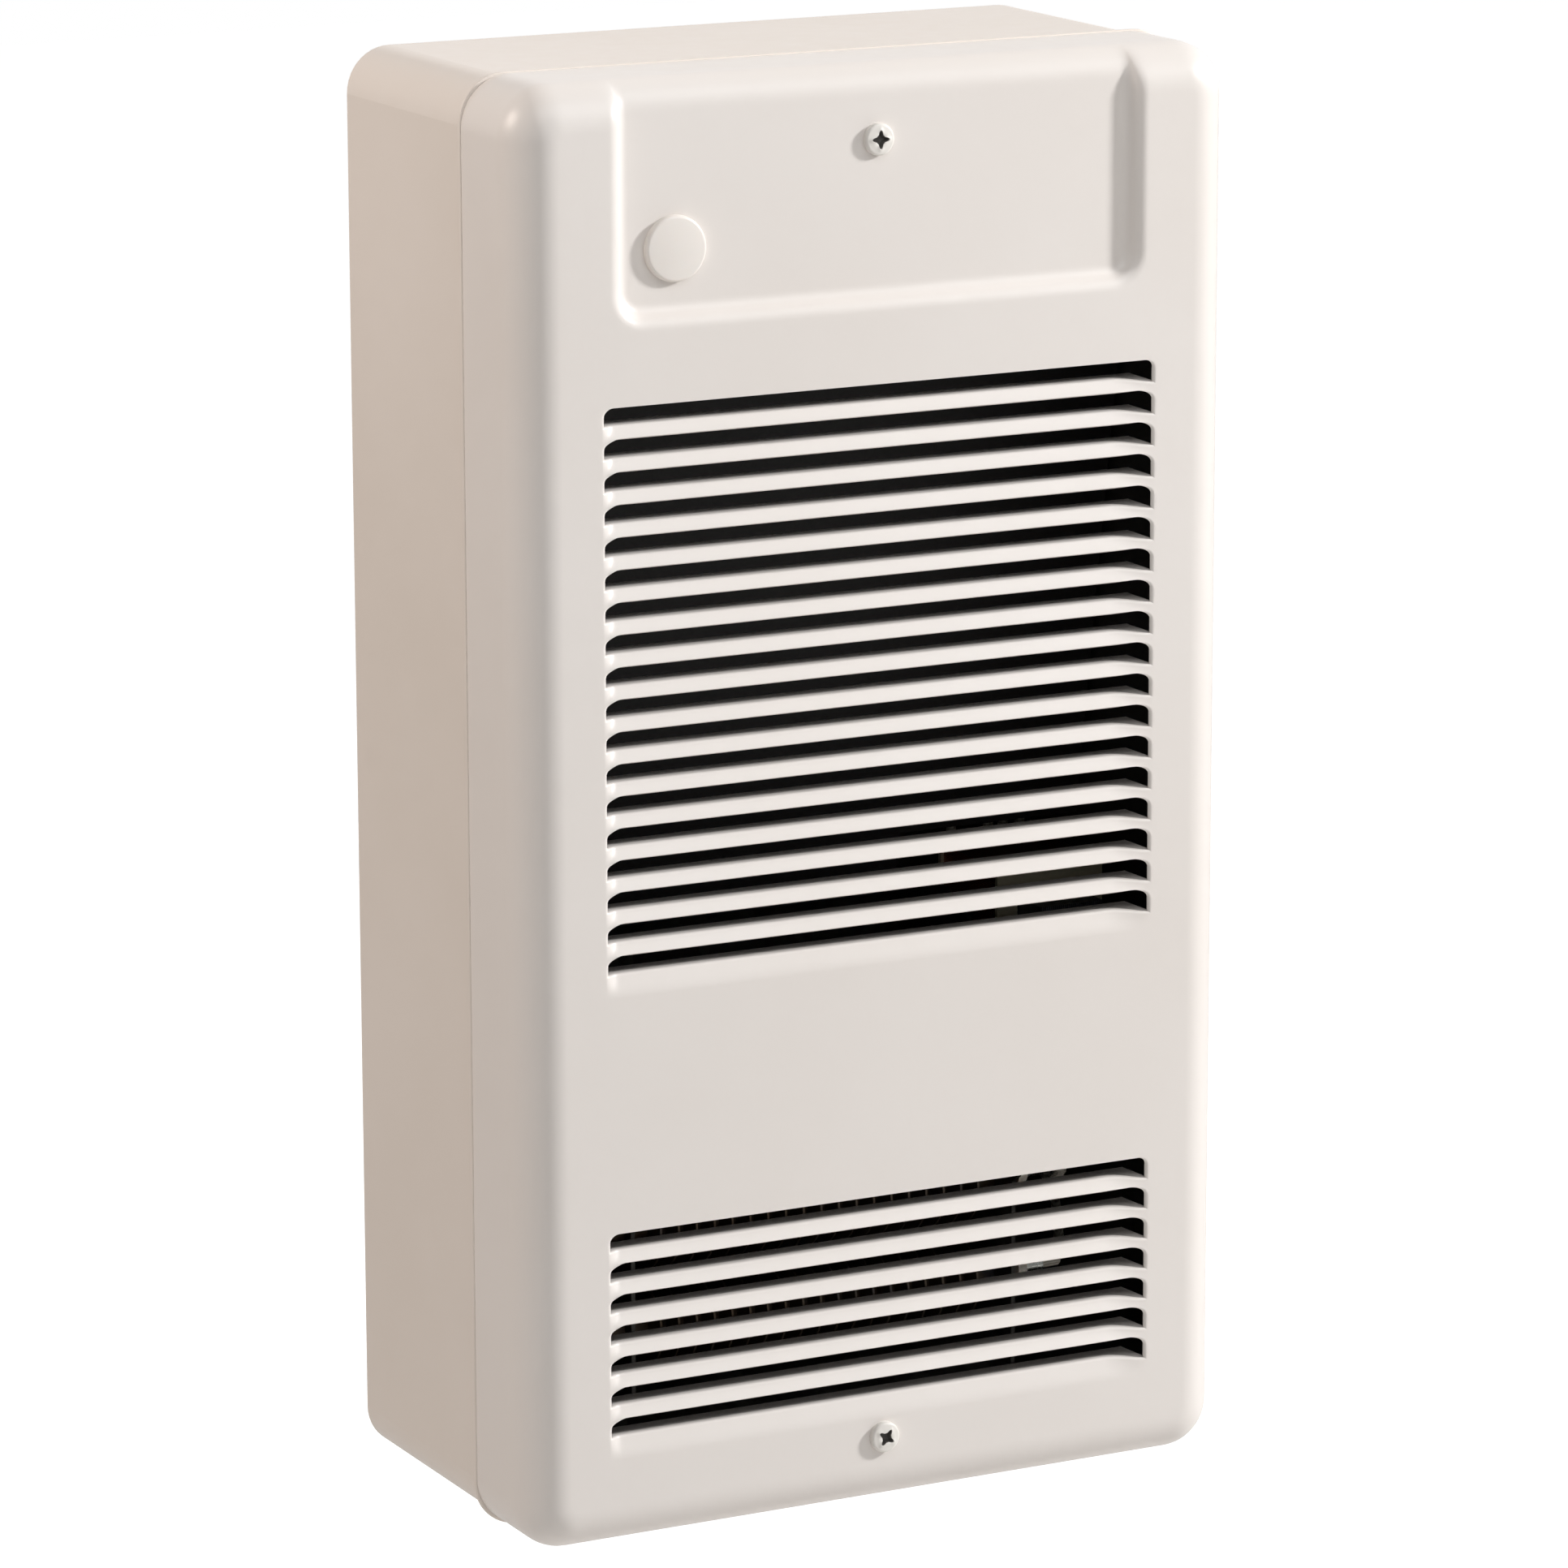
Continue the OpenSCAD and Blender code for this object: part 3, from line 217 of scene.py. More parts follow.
@dataclass(frozen=True)
class Finish:
    """A real finish: its name, its colour, and the CAD nodes that are made of it."""

    name: str
    colour: str
    nodes: tuple[str, ...] = ()
    rough: float = 0.4

    def build(self) -> Material:
        """Makes the material.

        Returns:
            The finished Blender material.
        """
        material = bpy.data.materials.new(self.name)
        self.shade(Graph(material))
        material.diffuse_color = linear(self.colour)
        return material

    def shade(self, g: Graph) -> None:
        """Fills the node tree; each kind of finish has its own."""
        raise NotImplementedError


@dataclass(frozen=True)
class PowderCoat(Finish):
    """Stoved powder paint: an orange-peel surface under a satin shine, faintly uneven in tone."""

    shade_colour: str = "E6DED3"
    peel: float = 0.012
    bare: str = "2B2927"
    bare_worn_and_shade: str = "3A3835"
    cavity: Point | None = None
    bare_rough: float = 0.62

    def shade(self, g: Graph) -> None:
        """Lays the paint's broad unevenness in colour, its peel in the bump, and a soft satin lustre.

        Where the spray doesn't reach, a dull, uneven dark steel colour shows; on the sheets' backs, inside
        the box and in the screws' drives it is partly bare phosphated steel and partly painted shade.

        Args:
            g: The material's tree.
        """
        cloud = g.noise(9, 3)
        peel = g.noise(420, 2, 0.45)
        paint = g.ramp(cloud, [(0.25, self.shade_colour), (0.75, self.colour)])
        unsprayed_and_shade = self.dark_steel_and_shade_mask(g)
        # the dark steel colours here are partly bare steel and partly painted shade in hollows and behind
        # the openings
        steel = g.ramp(g.noise(60, 4, 0.6), [(0.3, self.bare), (0.7, self.bare_worn_and_shade)])
        tone = g.add("Mix", {"Factor": unsprayed_and_shade, 6: paint, 7: steel}, data_type="RGBA").outputs[2]
        lustre = g.span(g.noise(160, 2), self.rough - 0.03, self.rough + 0.04)
        dull = g.add("Mix", {"Factor": unsprayed_and_shade, 2: lustre, 3: self.bare_rough},
                     data_type="FLOAT").outputs[0]
        g.surface({"Base Color": tone, "Roughness": dull, "Normal": g.bump(peel, self.peel), "IOR": 1.5})

    def dark_steel_and_shade_mask(self, g: Graph) -> Socket:
        """Gives 1 where the dark bare steel colour goes, partly unsprayed steel and partly painted shade.

        That is the piece's own "unsprayed" attribute or, where the finish has a cavity, what lies in
        front of the box's back and within its rounded walls.

        Args:
            g: The material's tree.

        Returns:
            The mask's socket.
        """
        if self.cavity is None:
            return g.add("Attribute", attribute_name="unsprayed_and_shade").outputs["Fac"]
        half_w, half_h, reach = (size * MM for size in self.cavity)
        place = g.place()
        away = g.add("VectorMath", {0: place}, operation="ABSOLUTE").outputs[0]
        past = g.add("VectorMath", {0: away, 1: (half_w, 0, half_h)}, operation="SUBTRACT").outputs[0]
        past = g.add("VectorMath", {0: past, 1: (0, 0, 0)}, operation="MAXIMUM").outputs[0]
        past = g.add("VectorMath", {0: past, 1: (1, 0, 1)}, operation="MULTIPLY").outputs[0]
        out = g.add("VectorMath", {0: past}, operation="LENGTH").outputs["Value"]
        within = g.add("Math", {0: out, 1: reach}, operation="LESS_THAN").outputs[0]
        depth = g.add("SeparateXYZ", {"Vector": place}).outputs["Y"]
        ahead = g.add("Math", {0: depth, 1: -0.5 * MM}, operation="LESS_THAN").outputs[0]
        return g.add("Math", {0: within, 1: ahead}, operation="MULTIPLY").outputs[0]


@dataclass(frozen=True)
class Metal(Finish):
    """Bare metal whose grain is drawn along an axis, with tone and shine that vary along it."""

    second: str = "8A8A88"
    scale: float = 260
    stretch: tuple[float, float, float] = (0.04, 1, 1)
    depth: float = 0.004
    detail: float = 3.0

    def shade(self, g: Graph) -> None:
        """Runs the drawn grain through colour, roughness and bump, with broader handling stains.

        Args:
            g: The material's tree.
        """
        grain = g.noise(self.scale, self.detail, 0.6, self.stretch)
        stain = g.noise(28, 3, 0.6)
        mixed = g.add("Mix", {"Factor": 0.45, 2: grain, 3: stain}, data_type="FLOAT").outputs[0]
        g.surface({
            "Base Color": g.ramp(mixed, [(0.3, self.second), (0.62, self.colour)]),
            "Metallic": 1.0,
            "Roughness": g.span(mixed, self.rough + 0.1, self.rough - 0.07),
            "Normal": g.bump(grain, self.depth),
        })


@dataclass(frozen=True)
class Spangle(Finish):
    """Hot-dip zinc: flat crystals a few millimetres wide that each catch the light a little apart."""

    low: str = "A7ACAE"
    crystal: float = 190

    def shade(self, g: Graph) -> None:
        """Gives each crystal its own tone and shine, with a dull bloom of white rust over them.

        Args:
            g: The material's tree.
        """
        seat = g.place()
        warp = g.add("TexNoise", {"Vector": seat, "Scale": 160.0, "Detail": 2.0}).outputs["Color"]
        bent_at = g.add("Mix", {"Factor": 0.01, 4: seat, 5: warp}, data_type="VECTOR").outputs[1]
        cells = g.add("TexVoronoi", {"Vector": bent_at, "Scale": self.crystal}).outputs["Color"]
        tone = g.add("SeparateColor", {"Color": cells}).outputs["Red"]
        bloom = g.noise(45, 4, 0.6)
        g.surface({
            "Base Color": g.ramp(tone, [(0.0, self.low), (1.0, self.colour)]),
            "Metallic": g.span(bloom, 1.0, 0.82),
            "Roughness": g.span(g.add("Math", {0: tone, 1: bloom}, operation="MULTIPLY").outputs[0],
                                self.rough, self.rough + 0.22),
            "Normal": g.bump(g.noise(900, 2), 0.003, g.bump(tone, 0.004)),
        })


@dataclass(frozen=True)
class Rings(Finish):
    """Metal or wire in fine parallel rings along one axis: turned bars, wound wire, stacked sheets."""

    second: str = "4A4A4C"
    pitch: float = 0.5
    axis: str = "X"
    metallic: float = 1.0
    coat: float = 0.0
    depth: float = 0.03

    def shade(self, g: Graph) -> None:
        """Draws the rings at their real pitch in colour and bump, and lays any varnish over them.

        Args:
            g: The material's tree.
        """
        seat = g.place()
        inputs = {"Vector": seat, "Scale": math.pi / 10 / (self.pitch * MM), "Distortion": 0.4,
                  "Detail": 2.0, "Detail Scale": 3.0}
        rings = g.add("TexWave", inputs, wave_type="BANDS", bands_direction=self.axis).outputs["Fac"]
        wear = g.noise(120, 4, 0.6)
        mixed = g.add("Mix", {"Factor": 0.4, 2: rings, 3: wear}, data_type="FLOAT").outputs[0]
        g.surface({
            "Base Color": g.ramp(mixed, [(0.2, self.second), (0.7, self.colour)]),
            "Metallic": self.metallic,
            "Roughness": g.span(wear, self.rough - 0.05, self.rough + 0.1),
            "Normal": g.bump(rings, self.depth),
            "Coat Weight": self.coat,
            "Coat Roughness": 0.18,
        })


@dataclass(frozen=True)
class Tinted(Finish):
    """Steel sheath coloured by heat, straw to blue-brown in clouds over a drawn grain, with every colour
    darkened as painted shade.
    """

    # the heat colours below are kept at about half their brightness as painted shade behind the openings
    scorched_and_shaded: str = "2E2C29"
    straw: str = "463B2F"
    blued_and_shaded: str = "3A3C41"

    def shade(self, g: Graph) -> None:
        """Clouds the oxide colours over each other and dulls the shine where they are thickest.

        Args:
            g: The material's tree.
        """
        heat = g.noise(38, 4, 0.65)
        grain = g.noise(500, 3, 0.5, (0.05, 1, 1))
        g.surface({
            "Base Color": g.ramp(heat, [(0.3, self.scorched_and_shaded), (0.45, self.straw), (0.58, self.colour),
                                        (0.7, self.blued_and_shaded)]),
            "Metallic": 0.9,
            "Roughness": g.span(heat, 0.36, 0.55),
            "Normal": g.bump(grain, 0.006),
        })


@dataclass(frozen=True)
class Moulded(Finish):
    """Moulded plastic: a fine spark-eroded grain, a faint flow unevenness and a little light inside."""

    second: str = "000000"
    grain: float = 0.006
    inside: float = 0.05

    def shade(self, g: Graph) -> None:
        """Varies the tone by the melt's flow and breaks the shine with the mould's grain.

        Args:
            g: The material's tree.
        """
        flow = g.noise(24, 3, 0.5, (1, 1, 0.4))
        texture = g.noise(1400, 3, 0.6)
        g.surface({
            "Base Color": g.ramp(flow, [(0.3, self.second), (0.7, self.colour)]),
            "Roughness": g.span(texture, self.rough - 0.05, self.rough + 0.06),
            "Subsurface Weight": self.inside,
            "Subsurface Radius": (1.0, 0.7, 0.5),
            "Subsurface Scale": 0.001,
            "Normal": g.bump(texture, self.grain),
            "IOR": 1.49,
        })


@dataclass(frozen=True)
class Rubber(Moulded):
    """Cured rubber: matt, with a greyish bloom that gathers in patches."""

    def shade(self, g: Graph) -> None:
        """Lays the bloom over the dark compound, rough all over, with a soft pitted surface.

        Args:
            g: The material's tree.
        """
        bloom = g.noise(85, 5, 0.7)
        pits = g.noise(1100, 2, 0.5)
        g.surface({
            "Base Color": g.ramp(bloom, [(0.35, self.second), (0.75, self.colour)]),
            "Roughness": g.span(bloom, self.rough, self.rough + 0.12),
            "Sheen Weight": 0.15,
            "Sheen Roughness": 0.5,
            "Normal": g.bump(pits, self.grain),
        })


@dataclass(frozen=True)
class Glazed(Finish):
    """Steatite ceramic under a thin glaze, with the odd fired speck."""

    speck: str = "C9BFAE"

    def shade(self, g: Graph) -> None:
        """Scatters the specks under a clear coat whose surface waves slightly.

        Args:
            g: The material's tree.
        """
        specks = g.noise(1500, 2, 0.7)
        g.surface({
            "Base Color": g.ramp(specks, [(0.3, self.speck), (0.42, self.colour)]),
            "Roughness": g.span(g.noise(200, 2), 0.3, 0.42),
            "Subsurface Weight": 0.08,
            "Subsurface Scale": 0.001,
            "Coat Weight": 0.7,
            "Coat Roughness": 0.07,
            "Normal": g.bump(g.noise(260, 2), 0.008),
        })


# Warm white stoved paint: what the eye meets first, so its peel and lustre are kept low and fine.
COVER_PAINT = PowderCoat("Powder-coated steel, warm white", "ECE6E1", (), 0.33, "E8E1DB")
# The same powder on the wall box, a shade more beige and a little duller than the cover's.
# Inside its cavity the box takes the dark bare steel colour, partly unpainted steel and partly painted
# shade.
BOX_PAINT = PowderCoat("Powder-coated steel, beige white", "EBE2DA", ("back_box",), 0.36, "E4DAD0", 0.014,
                       cavity=(95.0, 187.5, 12.2))
# Screw heads painted with the cover: thicker paint, glossier on their small rounded edges; the drive's dark
# greys, 4A4744 and 5C5955, are painted shade in its recess, partly bare steel.
SCREW_PAINT = PowderCoat("Enamelled screw head, warm white", "EDE9E3", (), 0.32, "E6E1DA", 0.005,
                         "4A4744", "5C5955")
# The plug is moulded, so it is a touch greyer and smoother than the paint round it.
PLUG_PLASTIC = Moulded("Moulded nylon, off-white", "F0EAE4", (), 0.34, "EBE4DD", 0.002, 0.08)

FINISHES: tuple[Finish, ...] = (
    BOX_PAINT,
    # Zinc crystals on the folded inner sheets.
    Spangle("Hot-dip galvanised steel", "C9CDCE", (
        "upper_cover_bracket", "lower_cover_bracket", "wiring_shelf", "thermostat_bracket"), 0.3),
    # The same sheet in the air path, its zinc darkened as painted shade so the parts behind the openings
    # read dark.
    Spangle("Galvanised steel, darkened as painted shade", "4A4946", (
        "blower_scroll", "duct_roof", "left_end_plate", "right_end_plate", "element_hanger",
        "element_ferrules"), 0.46, "343330"),
    # Soft mill-finish aluminium with a drawn grain along the wheel's blades.
    Metal("Mill-finish aluminium", "D3D6D8", ("crossflow_wheel", "bracket_rivets"), 0.34, "A9ADB0"),
    # Ground shafts: fine turning rings, bright.
    Rings("Ground shaft steel", "C7C9CB", ("wheel_stub_shaft", "motor_shaft"), 0.2, "8F9193", 0.35,
          depth=0.002),
    # Oil-filled porous bronze.
    Metal("Sintered bronze", "B98B4E", ("wheel_bush", "motor_bushes"), 0.4, "7D5A30", 900, (1, 1, 1), 0.01),
    # Sheets of the motor's core seen edge-on, blued by the anneal.
    Rings("Blued core laminations", "6E747C", ("motor_rotor", "motor_stack"), 0.42, "33363B", 0.65),
    # Turns of enamelled wire under their impregnating varnish.
    Rings("Varnished copper winding", "A5532A", ("motor_coil",), 0.35, "5A2613", 0.5, "Z", 0.7, 0.6, 0.09),
    # Die-cast zinc of the motor's bearing bridges.
    Metal("Die-cast zinc", "A9ABAE", ("motor_front_bracket", "motor_rear_bracket"), 0.45, "7C7E82", 700,
          (1, 1, 1), 0.02),
    # Bright zinc plate on the small screws.
    Metal("Bright zinc plate", "CFD2CE", ("motor_screws", "element_pins", "cutout_screws", "thermostat_nut",
                                          "fixing_screws"), 0.27, "9A9C94", 500, (1, 1, 1), 0.003),
    # The element's heat colours, darkened as painted shade so its fins read dark behind the lower openings.
    Tinted("Heat-tinted sheath steel, darkened as painted shade", "50483F", ("element_tube", "element_fins")),
    Glazed("Glazed steatite", "EDE6D8", ("element_insulators",)),
    Moulded("Black phenolic moulding", "26241F", ("thermal_cutout", "thermostat_body"), 0.38, "151413",
            0.01, 0),
    # Flat black: the guide's black stands in as painted shade for the darkness inside the intake's openings.
    Moulded("Matt black polypropylene, painted shade", "1B1918", ("air_guide",), 0.6, "100F0E", 0.012, 0),
    Moulded("Ivory nylon", "E4DCC4", ("motor_bobbin", "terminal_block"), 0.42, "D6CCB0"),
    Moulded("White acetal spindle", "E9E7E0", ("thermostat_spindle",), 0.36, "DDDAD0"),
    Metal("Turned brass", "D0A95A", ("terminal_screws",), 0.25, "94702F", 600, (1, 1, 1), 0.003),
    Metal("Green-passivated steel", "5F9A4E", ("earth_screw",), 0.32, "2F6136", 500, (1, 1, 1), 0.003),
    Rubber("Black moulded rubber", "34322F", ("wheel_hub", "wheel_bearing_cup", "motor_isolators"), 0.6,
           "191817"),
    Rubber("Grey moulded rubber", "8B8B88", ("supply_bushing", "lead_grommet"), 0.58, "6B6B69"),
    # Glass-braid sleeving, pale and slightly waxed.
    Rings("Silicone-glass sleeving", "E3DED2", ("wiring_leads",), 0.5, "B8B1A2", 0.8, "Z", 0.0, 0.1, 0.05),
)


# ---------------------------------------------------------------- sheet and mesh tools


def metres(point: Point) -> Point:
    """Turns (x, depth, z) in millimetres into the row frame's metres."""
    return (point[0] * MM, -point[1] * MM, point[2] * MM)


def turned(degrees: float) -> Flat:
    """Gives the cosine and the sine of an angle in degrees."""
    return (math.cos(math.radians(degrees)), math.sin(math.radians(degrees)))


def placed(name: str, data: bpy.types.ID) -> Object:
    """Makes an object and adds it to the scene.

    Args:
        name: Its name.
        data: Its mesh, light or camera.

    Returns:
        The object.
    """
    made = bpy.data.objects.new(name, data)
    bpy.context.collection.objects.link(made)
    return made


def ease(t: float) -> float:
    """Goes smoothly from 0 to 1 as t does, and stays at those ends outside them."""
    t = min(1.0, max(0.0, t))
    return t * t * (3 - 2 * t)


def steps(start: float, end: float, count: int) -> list[float]:
    """Lists count + 1 evenly spaced numbers from start to end."""
    return [start + (end - start) * k / count for k in range(count + 1)]


def circle(x: float, z: float, radius: float, count: int = 32) -> list[Flat]:
    """Gives the points of a circle about (x, z), in the plane of the wall."""
    turns = [2 * math.pi * k / count for k in range(count)]
    return [(x + radius * math.cos(a), z + radius * math.sin(a)) for a in turns]


def inside(point: Flat, loop: Sequence[Flat]) -> bool:
    """Tells whether a point lies in a polygon.

    Args:
        point: The point.
        loop: The polygon's corners.

    Returns:
        True if it does.
    """
    x, z = point
    odd = False
    for (x0, z0), (x1, z1) in zip(loop, [*loop[1:], loop[0]]):
        if (z0 > z) != (z1 > z) and x < x0 + (z - z0) / (z1 - z0) * (x1 - x0):
            odd = not odd
    return odd


class Skin:
    """One face of a pressed sheet, gathered patch by patch and then given its thickness."""

    def __init__(self) -> None:
        """Starts an empty skin."""
        self.bm = bmesh.new()

    def vertex(self, point: Point) -> bmesh.types.BMVert:
        """Adds a vertex at (x, depth, z) in millimetres."""
        return self.bm.verts.new(metres(point))

    def grid(self, rows: Sequence[Sequence[Point]], closed: bool = False) -> None:
        """Adds a patch of quads.

        Args:
            rows: Rows of points, all of one length.
            closed: True if each row's end joins its start.
        """
        made = [[self.vertex(p) for p in row] for row in rows]
        count = len(made[0])
        for low, high in zip(made, made[1:]):
            for k in range(count if closed else count - 1):
                n = (k + 1) % count
                self.bm.faces.new((low[k], low[n], high[n], high[k]))

    def fill(self, outline: Sequence[Flat], holes: Iterable[Sequence[Flat]], depth: float) -> None:
        """Adds a flat patch with holes at one depth.

        Args:
            outline: The patch's outer corners.
            holes: The corners of each hole.
            depth: The patch's depth.
        """
        holes = [list(h) for h in holes]
        points: list[Vector] = []
        edges: list[tuple[int, int]] = []
        for loop in (outline, *holes):
            first, count = len(points), len(loop)
            points += [Vector(p) for p in loop]
            edges += [(first + k, first + (k + 1) % count) for k in range(count)]
        found, _, faces, *_ = delaunay_2d_cdt(points, edges, [], 1, 1e-5)
        made = [self.vertex((p[0], depth, p[1])) for p in found]
        for face in faces:
            centre = sum((found[k] for k in face), Vector((0, 0))) / len(face)
            if not any(inside(tuple(centre), hole) for hole in holes):
                self.bm.faces.new([made[k] for k in face])

    def join(self, mesh: Mesh) -> None:
        """Takes in another mesh's faces, which are already in the row frame, and removes that mesh."""
        self.bm.from_mesh(mesh)
        bpy.data.meshes.remove(mesh)

    def finish(self, name: str, thickness: float, material: Material) -> Object:
        """Welds the patches, turns them outward and thickens them inward.

        Args:
            name: The new object's name.
            thickness: The sheet's thickness.
            material: Its finish.

        Returns:
            The object, with plain mesh data.
        """
        bmesh.ops.remove_doubles(self.bm, verts=self.bm.verts[:], dist=0.004 * MM)
        bmesh.ops.recalc_face_normals(self.bm, faces=self.bm.faces[:])
        front = min(self.bm.faces, key=lambda f: f.calc_center_median().y - f.calc_area() * 100)
        if front.normal.y > 0:
            bmesh.ops.reverse_faces(self.bm, faces=self.bm.faces[:])
        mesh = bpy.data.meshes.new(name)
        self.bm.to_mesh(mesh)
        self.bm.free()
        mesh.materials.append(material)
        shell = placed(name, mesh)
        if thickness:
            mesh.materials.append(material)
            solid = shell.modifiers.new("sheet", "SOLIDIFY")
            solid.thickness = thickness * MM
            solid.offset = -1.0
            solid.use_even_offset = False
            solid.material_offset = 1
            baked = baked_mesh(shell)
            bpy.data.objects.remove(shell)
            bpy.data.meshes.remove(mesh)
            baked.name = name
            # The sheet's back faces get the dark bare steel colour: partly unsprayed steel, partly painted
            # shade seen through the openings.
            backs = baked.attributes.new("unsprayed_and_shade", "FLOAT", "FACE")
            backs.data.foreach_set("value", [float(p.material_index == 1) for p in baked.polygons])
            baked.polygons.foreach_set("material_index", [0] * len(baked.polygons))
            while len(baked.materials) > 1:
                baked.materials.pop()
            shell = placed(name, baked)
        smooth(shell.data)
        return shell


def smooth(mesh: Mesh, angle: float = 38.0) -> None:
    """Shades a mesh smooth, except over edges that turn by more than an angle in degrees."""
    mesh.polygons.foreach_set("use_smooth", [True] * len(mesh.polygons))
    mesh.set_sharp_from_angle(angle=math.radians(angle))


def baked_mesh(owner: Object) -> Mesh:
    """Applies an object's modifiers.

    Args:
        owner: An object in the scene.

    Returns:
        A new mesh with the result.
    """
    bpy.context.view_layer.update()
    graph = bpy.context.evaluated_depsgraph_get()
    return bpy.data.meshes.new_from_object(owner.evaluated_get(graph))


@dataclass(frozen=True)
class Run:
    """A row of equal copies: where it starts, how far apart the copies lie, and how many there are."""

    start: Point
    step: Point
    count: int
    turn: float = 0.0


class Repeater:
    """Copies a pattern mesh along a run with one Geometry Nodes group, and bakes the result."""

    def __init__(self) -> None:
        """Builds the node group once."""
        group = bpy.data.node_groups.new("Copies along a run", "GeometryNodeTree")
        face = group.interface
        face.new_socket(name="Geometry", in_out="INPUT", socket_type="NodeSocketGeometry")
        kinds = {"Pattern": "Object", "Count": "Int", "Start": "Vector", "Step": "Vector",
                 "Turn": "Float", "Finish": "Material"}
        self.ids = {
            name: face.new_socket(name=name, in_out="INPUT", socket_type="NodeSocket" + kind).identifier
            for name, kind in kinds.items()
        }
        face.new_socket(name="Geometry", in_out="OUTPUT", socket_type="NodeSocketGeometry")
        nodes = {name: group.nodes.new(kind) for name, kind in (
            ("given", "NodeGroupInput"), ("result", "NodeGroupOutput"), ("line", "GeometryNodeMeshLine"),
            ("pattern", "GeometryNodeObjectInfo"), ("index", "GeometryNodeInputIndex"),
            ("turn", "ShaderNodeMath"), ("angles", "ShaderNodeCombineXYZ"),
            ("copies", "GeometryNodeInstanceOnPoints"), ("real", "GeometryNodeRealizeInstances"),
            ("paint", "GeometryNodeSetMaterial"),
        )}
        nodes["line"].mode = "OFFSET"
        nodes["pattern"].inputs["As Instance"].default_value = True
        nodes["turn"].operation = "MULTIPLY"
        for source, outlet, target, inlet in (
            ("given", "Count", "line", "Count"), ("given", "Start", "line", "Start Location"),
            ("given", "Step", "line", "Offset"), ("given", "Pattern", "pattern", "Object"),
            ("index", 0, "turn", 0), ("given", "Turn", "turn", 1), ("turn", 0, "angles", "Y"),
            ("line", "Mesh", "copies", "Points"), ("pattern", "Geometry", "copies", "Instance"),
            ("angles", 0, "copies", "Rotation"), ("copies", "Instances", "real", "Geometry"),
            ("real", "Geometry", "paint", "Geometry"), ("given", "Finish", "paint", "Material"),
            ("paint", "Geometry", "result", "Geometry"),
        ):
            group.links.new(nodes[source].outputs[outlet], nodes[target].inputs[inlet])
        self.group = group

    def bake(self, pattern: Object, run: Run, finish: Material) -> Mesh:
        """Makes the copies.

        Args:
            pattern: The object that is copied; it has to be in the scene.
            run: Where the copies go.
            finish: Their material.

        Returns:
            One mesh with every copy.
        """
        holder = placed("run", bpy.data.meshes.new("run"))
        maker = holder.modifiers.new("copies", "NODES")
        maker.node_group = self.group
        values = {"Pattern": pattern, "Count": run.count, "Start": metres(run.start),
                  "Step": metres(run.step), "Turn": math.radians(run.turn), "Finish": finish}
        for name, value in values.items():
            maker[self.ids[name]] = value
        mesh = baked_mesh(holder)
        old = holder.data
        bpy.data.objects.remove(holder)
        bpy.data.meshes.remove(old)
        return mesh


# ---------------------------------------------------------------- the cover


@dataclass(frozen=True)
class Louvre:
    """The sizes of one pressed louvre; its height runs from the blade's foot, at 0.

    The shares are the rows up a blade's face, and the columns the places along it between its ends.
    """

    pitch: float = 8.8
    half: float = 83.5
    face: float = 3.4
    lean: float = 2.0
    sweep_x: float = 5.3
    sweep_z: float = 3.0
    first_drop: float = 0.5
    roll: float = 0.9
    least: float = 9.0
    bend: float = 0.75
    ledge: float = 7.0
    ledge_cut: float = 3.4
    dip: float = 1.3
    reach: tuple[float, float] = (4.0, 13.0)
    strip: float = 2.2
    above: float = 2.0
    setback: float = 0.1
    ledge_from: float = 70.0
    shares: tuple[float, ...] = (0, 0.05, 0.2, 0.4, 0.6, 0.8, 1)
    columns: tuple[float, ...] = (-74, -60, -30, 0, 30, 60, 71.5, 73.5, 76)

    @property
    def base(self) -> float:
        """How far from the middle the rolled edge of a slot's end starts."""
        return self.half + self.roll

    def lean_at(self, x: float) -> float:
        """Gives how far the blade's top lies behind the face at x."""
        end = self.reach[1] if x > 0 else self.reach[0]
        return self.lean * ease((self.base - abs(x)) / end)

    def bend_at(self, x: float) -> float:
        """Gives the height of the blade's bend at x."""
        return self.face - (self.dip * (1 - ease((self.base - x) / self.reach[1])) if x > 0 else 0.0)


@dataclass(frozen=True)
class Station:
    """A point on the edge of a slot: where its rolled lip starts, which way it turns and how far."""

    x: float
    z: float
    into: Flat
    turn: float


